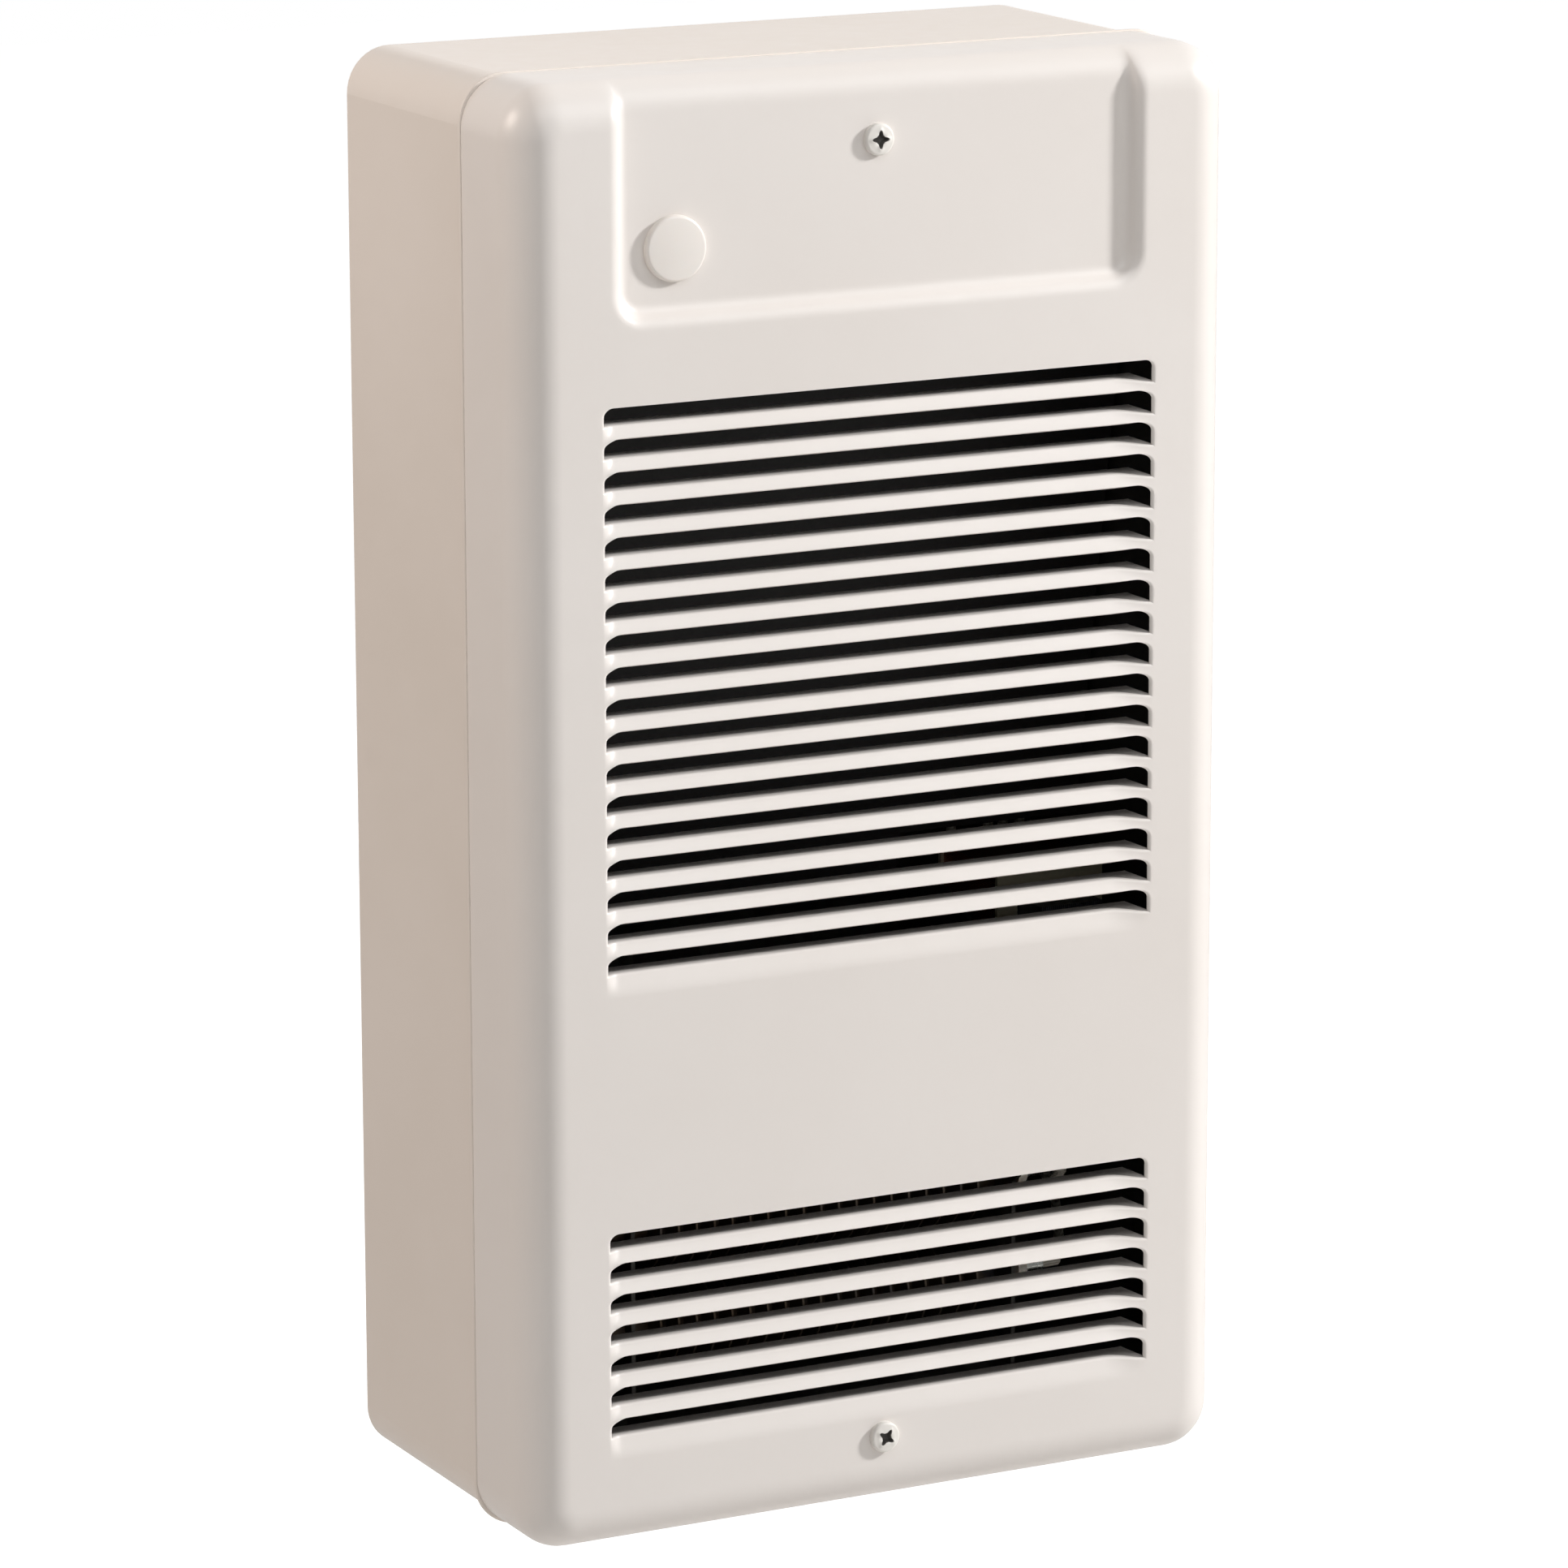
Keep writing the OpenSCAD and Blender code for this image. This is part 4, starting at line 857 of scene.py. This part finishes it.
@dataclass
class Cover:
    """The pressed cover: rounded pan, recess at the top, and two grilles of louvres."""

    paint: Material
    repeater: Repeater
    half_w: float = 108.6
    half_h: float = 201.1
    depth: float = 110.0
    rim: float = 76.0
    corner: float = 14.0
    round: float = 12.0
    sheet: float = 0.7
    recess_half: float = 81.5
    recess_foot: float = 135.0
    recess_drop: float = 4.0
    wall: float = 6.6
    floor_share: float = 0.45
    recess_corner: float = 3.8
    screw_z: float = 181.0
    screw_hole: float = 2.2
    plug_at: Flat = (-61.0, 156.0)
    plug_hole: float = 6.4
    tops: tuple[tuple[float, int], ...] = ((115.8, 18), (-111.0, 7))
    form: Louvre = field(default_factory=Louvre)
    skin: Skin = field(default_factory=Skin)

    def build(self) -> Object:
        """Makes the whole cover.

        Returns:
            The cover's object.
        """
        ring = self.perimeter()
        front, floor = self.recess(ring)
        holes = [self.grille(top, count) for top, count in self.tops]
        self.skin.fill(front, [*holes, circle(0, -self.screw_z, self.screw_hole)], self.depth)
        openings = [circle(0, self.screw_z, self.screw_hole), circle(*self.plug_at, self.plug_hole, 40)]
        self.skin.fill(floor, openings, self.depth - self.recess_drop)
        return self.skin.finish("front_cover_pressing", self.sheet, self.paint)

    @property
    def corner_z(self) -> float:
        """The height of the centres of the recess's two lower corners."""
        return self.recess_foot + self.wall + self.recess_corner

    def wall_profile(self) -> list[Flat]:
        """Gives the wall between front and floor as two arcs that meet.

        Returns:
            Pairs of the offset from the floor's edge and the share of the drop, from the front in.
        """
        turn = 2 * math.atan2(self.recess_drop, self.wall)
        floor_r = self.wall / math.sin(turn) * self.floor_share
        front_r = self.wall / math.sin(turn) - floor_r
        points = [(self.wall - front_r * math.sin(a), front_r * (1 - math.cos(a)) / self.recess_drop)
                  for a in steps(0, turn, 9)]
        points += [(floor_r * math.sin(a), 1 - floor_r * (1 - math.cos(a)) / self.recess_drop)
                   for a in steps(turn, 0, 5)[1:]]
        return [(self.wall + SUPPORT, 0.0), *points, (-SUPPORT, 1.0)]

    def climb(self, u: float, share: float) -> float:
        """Gives the height in the recess's straight sides.

        Args:
            u: 0 at the corner's centre, 1 where the top rounding starts.
            share: 0 on the front, 1 on the floor.

        Returns:
            The z.
        """
        low = self.corner_z
        return low + u * (self.half_h - self.round - low + self.recess_drop * share)

    def perimeter(self) -> list[tuple[float, float, float]]:
        """Adds the rounded edge and the sides.

        Returns:
            The support row on the flat as (x, z, share), anticlockwise from the top's right half.
        """
        inner = self.corner - self.round
        cx, cz = self.half_w - self.corner, self.half_h - self.corner
        columns: list[tuple[Flat, Flat, float]] = []
        edge = self.recess_half - self.wall

        def arc(sx: int, sz: int, start: float) -> None:
            """Adds the columns round one of the cover's corners.

            Args:
                sx: The sign of the corner's x.
                sz: The sign of its z.
                start: The angle in degrees that its quarter turn starts from.
            """
            for a in steps(start, start + 90, 12):
                n = turned(a)
                columns.append(((sx * cx + inner * n[0], sz * cz + inner * n[1]), n, 0.0))

        profile = self.wall_profile()
        arc(1, 1, 0)
        top = cz + inner
        columns.append(((cx - 1, top), (0, 1), 0.0))
        columns += [((edge + off, top), (0, 1), share) for off, share in profile]
        columns += [((-edge - off, top), (0, 1), share) for off, share in reversed(profile)]
        columns.append(((-cx + 1, top), (0, 1), 0.0))
        arc(-1, 1, 90)
        columns += [((-cx - inner, z), (-1, 0), 0.0) for z in (cz - 1, -cz + 1)]
        arc(-1, -1, 180)
        columns += [((x, -cz - inner), (0, -1), 0.0) for x in (-cx + 1, cx - 1)]
        arc(1, -1, 270)
        columns += [((cx + inner, z), (1, 0), 0.0) for z in (-cz + 1, cz - 1)]

        near = 1 - SUPPORT / (top - self.corner_z)
        support = [(b[0] - SUPPORT * n[0],
                    self.climb(near, w) if w or n == (0, 1) else b[1] - SUPPORT * n[1], w)
                   for b, n, w in columns]
        flat = self.depth - self.round
        rows: list[list[Point]] = [[(x, self.depth - self.recess_drop * w, z) for x, z, w in support]]
        for a in steps(0, math.pi / 2, 12):
            row = []
            for b, n, w in columns:
                r = self.round - self.recess_drop * w
                out = r * math.sin(a) + self.recess_drop * w
                row.append((b[0] + n[0] * out, flat + r * math.cos(a), b[1] + n[1] * out))
            rows.append(row)
        for depth in (flat - 1, self.rim + 1, self.rim):
            rows.append([(x, depth, z) for x, _, z in rows[-1]])
        self.skin.grid(rows, closed=True)
        return support

    def recess(self, ring: Sequence[tuple[float, float, float]]) -> tuple[list[Flat], list[Flat]]:
        """Adds the recess's wall.

        Args:
            ring: The support row of the perimeter.

        Returns:
            The outlines of the front and of the recess's floor.
        """
        profile = self.wall_profile()
        edge = self.recess_half - self.wall
        cx = edge - self.recess_corner
        cz = self.corner_z
        rise = self.half_h - self.round - cz
        near = 1 - SUPPORT / rise
        just = 1 / rise
        rows: list[list[Point]] = []

        def row(place: Callable[[float, float], Flat]) -> None:
            """Adds one row across the wall.

            Args:
                place: Gives a point's (x, z) for its offset and its share of the drop.
            """
            made = []
            for off, share in profile:
                x, z = place(off, share)
                made.append((x, self.depth - self.recess_drop * share, z))
            rows.append(made)

        def corner(sign: int, start: float) -> None:
            """Adds the rows round one lower corner.

            Args:
                sign: -1 for the left corner, 1 for the right.
                start: The angle in degrees that its quarter turn starts from.
            """
            for a in steps(start, start + 90, 16):
                c, s = turned(a)
                row(lambda off, _, c=c, s=s: (sign * cx + (self.recess_corner + off) * c,
                                              cz + (self.recess_corner + off) * s))

        for u in (near, just):
            row(lambda off, share, u=u: (-edge - off, self.climb(u, share)))
        corner(-1, 180)
        for x in (-cx + 1, cx - 1):
            row(lambda off, _, x=x: (x, cz - self.recess_corner - off))
        corner(1, 270)
        for u in (just, near):
            row(lambda off, share, u=u: (edge + off, self.climb(u, share)))
        self.skin.grid(rows)
        outer = [(r[0][0], r[0][2]) for r in rows]
        inner = [(r[-1][0], r[-1][2]) for r in rows]
        limit = self.recess_half + 0.5
        around = [(x, z) for x, z, _ in ring if z < cz or abs(x) > limit]
        left = next(k for k, p in enumerate(around) if p[0] < 0)
        front = [*around[left:], *around[:left], *reversed(outer)]
        return front, inner

    def lips(self, row: Sequence[Station], at: float, sunk: Callable[[Station], float]) -> None:
        """Adds the rolled lip along a slot's edge.

        Args:
            row: The stations along the edge.
            at: The height of the blade's foot.
            sunk: The slope of the face where the lip starts.
        """
        rows: list[list[Point]] = []
        for share in steps(0, 1, 4):
            made = []
            for s in row:
                slope = math.atan(sunk(s))
                a = math.radians(s.turn) * share
                side = self.form.roll * (math.sin(a - slope) + math.sin(slope))
                back = self.form.roll * (math.cos(slope) - math.cos(a - slope))
                made.append((s.x + s.into[0] * side,
                             self.depth - self.form.setback * math.tan(slope) - back,
                             at + s.z + s.into[1] * side))
            rows.append(made)
        self.skin.grid(rows)

    def foot(self, top: float, width: float, rise: float) -> list[Station]:
        """Lists the stations along a slot's upper edge, from its left end to its right.

        Args:
            top: The edge's height between its ends.
            width: How wide the swept corner is.
            rise: How high it is.

        Returns:
            The stations.
        """
        f = self.form
        right: list[Station] = []
        for a in steps(0, 90, 9):
            c, s = turned(a)
            n = Vector((c / width, s / rise)).normalized()
            turn = f.least + (90 - f.least) * (1 - a / 90) ** 1.3
            out = f.roll * math.sin(math.radians(turn))
            x, z = f.half - width + width * c, top - rise + rise * s
            right.append(Station(x + n.x * out, z + n.y * out, (-n.x, -n.y), turn))
        out = f.roll * math.sin(math.radians(f.least))
        middle = [Station(x, top + out, (0.0, -1.0), f.least) for x in f.columns]
        left = [Station(-s.x, s.z, (-s.into[0], s.into[1]), s.turn) for s in right]
        right.reverse()
        return [*left, *middle, *right]

    def blade(self, at: float, lower: Sequence[Station], last: bool) -> None:
        """Adds one blade with its bend and ledge, and the strips beside it.

        Args:
            at: The height of its foot.
            lower: The stations along its foot.
            last: True for a grille's lowest blade, which runs out into the sheet.
        """
        f = self.form
        rows: list[list[Point]] = []
        for t in f.shares:
            made = []
            for s in lower:
                high = f.bend_at(s.x)
                z = s.z + (high - f.bend - s.z) * t
                part = (z - s.z) / (high - s.z)
                fall = part * part * (2.2 - 1.2 * part) if last else part * (1.3 - 0.3 * part)
                lift = f.setback * self.slope(s, last) * (1 - part)
                made.append((s.x, self.depth - f.lean_at(s.x) * fall - lift, at + z))
            rows.append(made)
        strips = [[p[2] for p in (row[0], row[-1])] for row in rows]
        bends: list[list[Point]] = []
        for t in steps(0, 1, 4)[1:]:
            made = []
            for s, p in zip(lower, rows[-1]):
                high = at + f.bend_at(s.x)
                corner = p[1] - 0.35 * f.bend * f.lean_at(s.x) / f.face
                a, b = (1 - t) ** 2, 2 * t * (1 - t)
                made.append((s.x, a * p[1] + b * corner + t * t * (corner - f.bend),
                             a * p[2] + (1 - a) * high))
            bends.append(made)
        rows += bends
        rear = self.depth - f.lean - f.ledge
        start = rows[-1]
        for t in (0.3, 1):
            made = []
            for x, depth, z in start:
                cut = f.ledge_cut * max(0.0, (abs(x) - f.ledge_from) / (f.base - f.ledge_from)) * t
                made.append((x - math.copysign(cut, x), depth + (rear - depth) * t,
                             z + (at + f.face - z) * t))
            rows.append(made)
        self.skin.grid(rows)
        for side in (0, 1):
            sign = 2 * side - 1
            x = sign * f.base
            heights = [pair[side] for pair in strips]
            open_top = at + f.pitch - f.sweep_z
            above = [heights[-1] + (open_top - heights[-1]) * k for k in (0.5, 1)]
            edges = [(x, self.depth, z) for z in (*heights, *above)]
            self.skin.grid([[(p[0] + sign * w, p[1], p[2]) for p in edges] for w in (0, SUPPORT, f.strip)])
            ends = [Station(x, z - at, (-float(sign), 0.0), 90.0) for z in (heights[-1], *above)]
            self.lips(ends, at, lambda _: 0.0)

    def slope(self, s: Station, last: bool) -> float:
        """Gives how steeply a blade's face runs out at its foot."""
        f = self.form
        return 0.0 if last else 1.3 * f.lean_at(s.x) / (f.bend_at(s.x) - s.z) * -s.into[1]

    def grille(self, top: float, count: int) -> list[Flat]:
        """Adds one grille.

        Args:
            top: The height of its first slot's pitch line.
            count: How many slots it has.

        Returns:
            The outline of the sheet that it takes up.
        """
        f = self.form
        foot = self.foot(0, f.sweep_x, f.sweep_z)
        part = Cover(self.paint, self.repeater)
        part.blade(0, foot, False)
        part.lips(foot, 0, lambda s: part.slope(s, False))
        pattern = part.skin.finish("louvre", 0, self.paint)
        run = Run((0, 0, top - f.pitch), (0, 0, -f.pitch), count - 1)
        self.skin.join(self.repeater.bake(pattern, run, self.paint))
        bpy.data.objects.remove(pattern)

        bottom = top - f.pitch * count
        low = bottom - f.sweep_z
        flat_foot = [Station(s.x, -f.sweep_z, (0.0, -1.0), 0.0) for s in foot]
        self.blade(bottom, flat_foot, True)

        cap = self.foot(f.pitch - f.first_drop, 2.5, 2.5)
        first = top - f.pitch
        self.lips(cap, first, lambda _: 0.0)
        over = f.pitch + f.above
        edge = [(s.x, self.depth, first + s.z) for s in cap]
        self.skin.grid([edge, [(s.x, self.depth, first + s.z + (over - s.z) * 0.3) for s in cap],
                        [(s.x, self.depth, first + over) for s in cap]])
        rises = [first + cap[0].z + (over - cap[0].z) * k for k in (0, 0.3, 1)]
        for sign in (-1, 1):
            self.skin.grid([[(sign * (f.base + w), self.depth, z) for z in rises]
                            for w in (0, SUPPORT, f.strip)])

        # the outline: up the right side, over the top, down the left, and along the bottom
        def heights(side: int) -> list[float]:
            """Lists the rows at one side, from the bottom up.

            Args:
                side: 0 for the left side, 1 for the right.

            Returns:
                Their heights.
            """
            found: list[float] = []
            for k in reversed(range(count)):
                at = top - f.pitch * (k + 1)
                s = foot[-1 if side else 0]
                final = k == count - 1
                start = -f.sweep_z if final else s.z
                high = f.bend_at(s.x) - f.bend
                rows = [start + (high - start) * t for t in f.shares]
                end = f.pitch - f.sweep_z
                rows += [high + (end - high) * 0.5, end]
                found += [at + z for z in rows]
            found += rises[1:]
            kept: list[float] = []
            for z in found:
                if not kept or z - kept[-1] > 0.01:
                    kept.append(z)
            return kept

        out = f.base + f.strip
        right = [(out, z) for z in heights(1)]
        left = [(-out, z) for z in reversed(heights(0))]
        side = f.base + SUPPORT
        over_row = [(x, first + over) for x in (side, *(s.x for s in reversed(cap)), -side)]
        under_row = [(x, low) for x in (-side, *(s.x for s in foot), side)]
        return [*right, *over_row, *left, *under_row]


# ---------------------------------------------------------------- screws and plug


def revolve(skin: Skin, rows: Sequence[Sequence[tuple[float, float]]], centre: Point) -> None:
    """Adds a surface of rings about an axis along the depth, closed at its last ring's middle.

    Args:
        skin: What it is added to.
        rows: Each ring as (radius, height) at every column.
        centre: Where the axis meets height 0.
    """
    count = len(rows[0])
    turns = [2 * math.pi * k / count for k in range(count)]
    rings = [[(centre[0] + r * math.cos(a), centre[1] + h, centre[2] + r * math.sin(a))
              for (r, h), a in zip(row, turns)] for row in rows]
    skin.grid(rings, closed=True)
    last = rings[-1]
    middle = tuple(sum(p[k] for p in last) / count for k in range(3))
    tip = skin.vertex(middle)
    made = [skin.vertex(p) for p in last]
    for k in range(count):
        skin.bm.faces.new((made[k], made[(k + 1) % count], tip))


@dataclass(frozen=True)
class CrossScrew:
    """A pan-head screw with a cross drive, as one revolved skin with its recess."""

    head_r: float = 4.35
    head_h: float = 2.2
    shank_r: float = 1.9
    length: float = 10.0
    tip: float = 2.55
    waist: float = 1.4
    drive: float = 2.0

    def star(self, a: float, scale: float) -> float:
        """Gives the drive's radius in direction a; scale is 1 at the head's face and less further in."""
        part = abs((a / (math.pi / 2) + 0.5) % 1 - 0.5) * 2
        return (self.waist + (self.tip - self.waist) * (1 - ease(min(1.0, part * 1.25))) ** 1.35) * scale

    def build(self, paint: Material) -> Object:
        """Makes the pattern at the origin, its head seated at depth 0.

        Args:
            paint: Its finish.

        Returns:
            The pattern's object.
        """
        count = 96
        turns = [2 * math.pi * k / count for k in range(count)]
        outline = [(0.3, -self.length), (self.shank_r, -self.length + 0.8), (self.shank_r, 0.0),
                   (self.head_r, 0.0), (self.head_r, 0.1)]
        edge = 0.8
        side = self.head_h - 0.35 - edge
        outline += [(self.head_r - edge * (1 - math.cos(a)), side + edge * math.sin(a))
                    for a in steps(0, math.radians(80), 7)]
        rows = [[pair] * count for pair in outline]
        flat_r, flat_h = outline[-1]
        for t in (0.12, 0.5, 1.0):
            rows.append([(flat_r + (self.star(a, 1.0) + 0.16 - flat_r) * t,
                          flat_h + (self.head_h - flat_h) * ease(t)) for a in turns])
        rows += [[(self.star(a, 1.0) + 0.04, self.head_h - 0.06) for a in turns],
                 [(self.star(a, 0.97), self.head_h - 0.25) for a in turns],
                 [(self.star(a, 0.72), self.head_h - self.drive * 0.85) for a in turns],
                 [(self.star(a, 0.2), self.head_h - self.drive) for a in turns]]
        skin = Skin()
        revolve(skin, rows, (0, 0, 0))
        screw = skin.finish("screw", 0, paint)
        # The drive's recess gets the dark bare steel colour, painted shade there as much as bare steel.
        drive = screw.data.attributes.new("unsprayed_and_shade", "FLOAT", "POINT")
        floor = -(self.head_h - 0.2) * MM
        drive.data.foreach_set("value", [float(v.co.y > floor and math.hypot(v.co.x, v.co.z) < self.tip * MM
                                               and v.co.y < 0) for v in screw.data.vertices])
        return screw


@dataclass(frozen=True)
class Plug:
    """The moulded plug over the thermostat: a domed cap with a rounded edge on a short stem."""

    at: Point = (Cover.plug_at[0], Cover.depth - Cover.recess_drop, Cover.plug_at[1])
    radius: float = 9.0
    height: float = 2.4
    edge: float = 0.9
    dome: float = 0.35
    stem_r: float = 6.2
    stem: float = 6.0

    def build(self, plastic: Material) -> Object:
        """Makes the plug.

        Args:
            plastic: Its finish.

        Returns:
            The plug's object.
        """
        outline = [(self.stem_r - 1.2, -self.stem + 1.5), (self.stem_r - 1.2, -self.stem),
                   (self.stem_r - 0.3, -self.stem), (self.stem_r, -self.stem + 0.5),
                   (self.stem_r, -0.02), (self.radius - 0.25, -0.02), (self.radius, 0.2)]
        top = self.height - self.dome
        outline += [(self.radius - 0.08 - self.edge * (1 - math.cos(a)),
                     top - self.edge + self.edge * math.sin(a)) for a in steps(0, math.radians(84), 8)]
        rim = outline[-1][0]
        outline += [(rim * (1 - t), top + self.dome * (1 - (1 - t) ** 2))
                    for t in (0.05, 0.25, 0.5, 0.75, 0.93)]
        skin = Skin()
        revolve(skin, [[pair] * 80 for pair in outline], self.at)
        return skin.finish("access_plug_moulding", 0, plastic)


@dataclass(frozen=True)
class RimBead:
    """The box's rolled rim, a thin bead that the cover's edge meets and that stands a little proud of it."""

    half_w: float = 109.0
    half_h: float = 201.5
    corner: float = 13.0
    front: float = 75.95
    width: float = 1.5
    root: float = 1.8
    edge: float = 0.4

    def build(self, paint: Material) -> Object:
        """Makes the bead as a ring of its section, rooted in the box's wall.

        Args:
            paint: Its finish.

        Returns:
            The bead's object.
        """
        rear = self.front - self.width
        arc = [(self.edge * (1 - math.sin(a)), self.edge * math.cos(a)) for a in steps(0, math.pi / 2, 4)]
        section = [(self.root, rear), *((inset, rear + self.edge - up) for inset, up in arc),
                   *((inset, self.front - self.edge + up) for inset, up in reversed(arc)),
                   (self.root, self.front)]
        rows = []
        for inset, depth in (*section, section[0]):
            row = []
            for sx, sz, start in ((1, 1, 0), (-1, 1, 90), (-1, -1, 180), (1, -1, 270)):
                for a in steps(math.radians(start), math.radians(start + 90), 14):
                    r = self.corner - inset
                    row.append((sx * (self.half_w - self.corner) + r * math.cos(a), depth,
                                sz * (self.half_h - self.corner) + r * math.sin(a)))
            rows.append(row)
        skin = Skin()
        skin.grid(rows, closed=True)
        return skin.finish("back_box_rim_bead", 0, paint)


# ---------------------------------------------------------------- stage


@dataclass(frozen=True)
class Lamp:
    """A softbox: where it stands, what it looks at, its size in metres and its power in watts."""

    name: str
    at: Point
    aim: Point
    size: tuple[float, float]
    watts: float
    colour: str = "FFFFFF"

    def build(self) -> None:
        """Adds the lamp to the scene."""
        data = bpy.data.lights.new(self.name, "AREA")
        data.shape = "RECTANGLE"
        data.size, data.size_y = self.size
        data.energy = self.watts
        data.color = linear(self.colour)[:3]
        lamp = placed(self.name, data)
        lamp.location = self.at
        lamp.rotation_euler = (Vector(self.aim) - Vector(self.at)).to_track_quat("-Z", "Y").to_euler()


@dataclass(frozen=True)
class Camera:
    """The photograph's camera, solved from the heater's edges: metres and degrees."""

    at: Point = (-0.91367, -1.82357, 0.45167)
    yaw: float = 27.264
    pitch: float = 12.956
    roll: float = -0.129
    lens: float = 168.05

    def build(self) -> None:
        """Adds the camera and makes it the scene's."""
        a, b = math.radians(self.yaw), math.radians(self.pitch)
        ahead = Vector((math.sin(a) * math.cos(b), math.cos(a) * math.cos(b), -math.sin(b)))
        right = ahead.cross(Vector((0, 0, 1))).normalized()
        up = right.cross(ahead)
        turn = Matrix((right, up, -ahead)).transposed() @ Matrix.Rotation(math.radians(self.roll), 3, "Z")
        data = bpy.data.cameras.new("photo_view")
        data.lens, data.sensor_width = self.lens, 36.0
        data.clip_start, data.clip_end = 0.05, 60.0
        camera = placed("photo_view", data)
        camera.matrix_world = turn.to_4x4()
        camera.location = self.at
        bpy.context.scene.camera = camera


@dataclass(frozen=True)
class Studio:
    """A white cyclorama: a small hard key far to the right, soft light from above, in front and left."""

    fill: float = 0.15
    floor_z: float = -0.6
    floor_half: float = 6000
    floor_glow: float = 0.86
    lamps: tuple[Lamp, ...] = (
        Lamp("side_key", (1.9, -0.95, 1.0), (0, -0.1, 0.05), (0.25, 0.25), 50),
        Lamp("overhead_softbox", (0.0, -0.85, 1.0), (0, -0.1, 0.1), (1.2, 0.7), 4.2),
        Lamp("left_reflector", (-1.05, 0.25, 0.7), (-0.1, -0.05, 0.05), (0.5, 0.5), 7.2, "FFF1E6"),
        Lamp("front_softbox", (-0.3, -2.6, 0.75), (0, -0.1, 0.0), (1.2, 1.2), 3.2),
    )

    def build(self) -> None:
        """Adds the lamps, the world and the floor."""
        for lamp in self.lamps:
            lamp.build()
        self.surround()
        self.floor()

    def surround(self) -> None:
        """Adds a world that lights the heater faintly and shows white to the camera and in reflections."""
        world = bpy.data.worlds.new("cyclorama")
        bpy.context.scene.world = world
        g = Graph(world)
        path = g.add("LightPath")
        seen = g.add("Math", {0: path.outputs["Is Camera Ray"], 1: path.outputs["Is Glossy Ray"]},
                     operation="MAXIMUM").outputs[0]
        seen = g.add("Math", {0: seen, 1: path.outputs["Is Transmission Ray"]},
                     operation="MAXIMUM").outputs[0]
        level = g.add("MapRange", {"Value": seen, "To Min": self.fill, "To Max": 1.0}).outputs["Result"]
        back = g.add("Background", {"Color": (1, 1, 1, 1), "Strength": level})
        g.add("OutputWorld", {"Surface": back.outputs["Background"]})

    def floor(self) -> None:
        """Adds the pale floor, which keeps the heater's shadow and reads as white to the camera."""
        skin = Skin()
        marks = steps(-self.floor_half, self.floor_half, 4)
        skin.grid([[(x, -d, self.floor_z / MM) for x in marks] for d in marks])
        material = bpy.data.materials.new("Pale studio floor")
        g = Graph(material)
        path = g.add("LightPath")
        tone = g.ramp(g.noise(3, 3), [(0.3, "F4F3F1"), (0.7, "F8F7F6")])
        matt = g.add("BsdfDiffuse", {"Color": tone}).outputs["BSDF"]
        glow = g.add("Emission", {"Color": (1, 1, 1, 1), "Strength": self.floor_glow}).outputs["Emission"]
        lit = g.add("AddShader", {0: matt, 1: glow}).outputs["Shader"]
        shown = g.add("MixShader", {"Fac": path.outputs["Is Camera Ray"], 1: matt, 2: lit}).outputs["Shader"]
        g.add("OutputMaterial", {"Surface": shown})
        floor = skin.finish("studio_floor", 0, material)


# ---------------------------------------------------------------- the scene


class Heater:
    """Dresses the CAD nodes in their finishes and replaces those that the photograph shows in detail."""

    def __init__(self, frame: dict) -> None:
        """Keeps the frame.
        """
        self.frame = frame
        self.materials: dict[str, Material] = {}

    def dress(self) -> None:
        """Gives each CAD node that a finish lists that finish, and logs those left without one."""
        bare = set(self.frame["nodes"])
        for finish in FINISHES:
            material = self.materials[finish.name] = finish.build()
            for node in finish.nodes:
                piece = self.frame["nodes"][node]
                for slot in piece.material_slots:
                    slot.material = material
                bare.discard(node)
        log.info("nodes without a finish of their own: %s", sorted(bare))

    def replace(self) -> None:
        """Builds the cover, its screws and the plug, and adds the bead on the box's rim."""
        repeater = Repeater()
        cover = Cover(COVER_PAINT.build(), repeater).build()
        self.settle(cover, "front_cover", Body.COVER, "cover_paint")

        paint = SCREW_PAINT.build()
        pattern = CrossScrew().build(paint)
        # one in the recess's floor and one in the front face, the second turned by 35 degrees
        seats = Run((0, Cover.depth - Cover.recess_drop, Cover.screw_z),
                    (0, Cover.recess_drop, -2 * Cover.screw_z), 2, 35)
        mesh = repeater.bake(pattern, seats, paint)
        bpy.data.objects.remove(pattern)
        smooth(mesh)
        self.settle(placed("cover_screw_pair", mesh), "cover_screws", Body.COVER, "screw_paint")

        self.settle(Plug().build(PLUG_PLASTIC.build()), "access_plug", Body.PLUG, "plug_plastic")

        bead = RimBead().build(self.materials[BOX_PAINT.name])
        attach(bead, Body.CHASSIS.value)

    @staticmethod
    def settle(piece: Object, node: str, body: Body, slot: str) -> None:
        """Puts a piece in a node's stead.

        Args:
            piece: The new piece.
            node: The CAD node that it replaces.
            body: The body that it rides on.
            slot: The record's material slot; not used.
        """
        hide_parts(node)
        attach(piece, body.value)


def main() -> None:
    """Builds the scene."""
    logging.basicConfig(level=logging.INFO, format="%(name)s: %(message)s")
    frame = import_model()
    Camera().build()
    Studio().build()
    heater = Heater(frame)
    heater.dress()
    heater.replace()
    bpy.context.scene.view_settings.view_transform = "Standard"


if __name__ == "__main__":
    main()
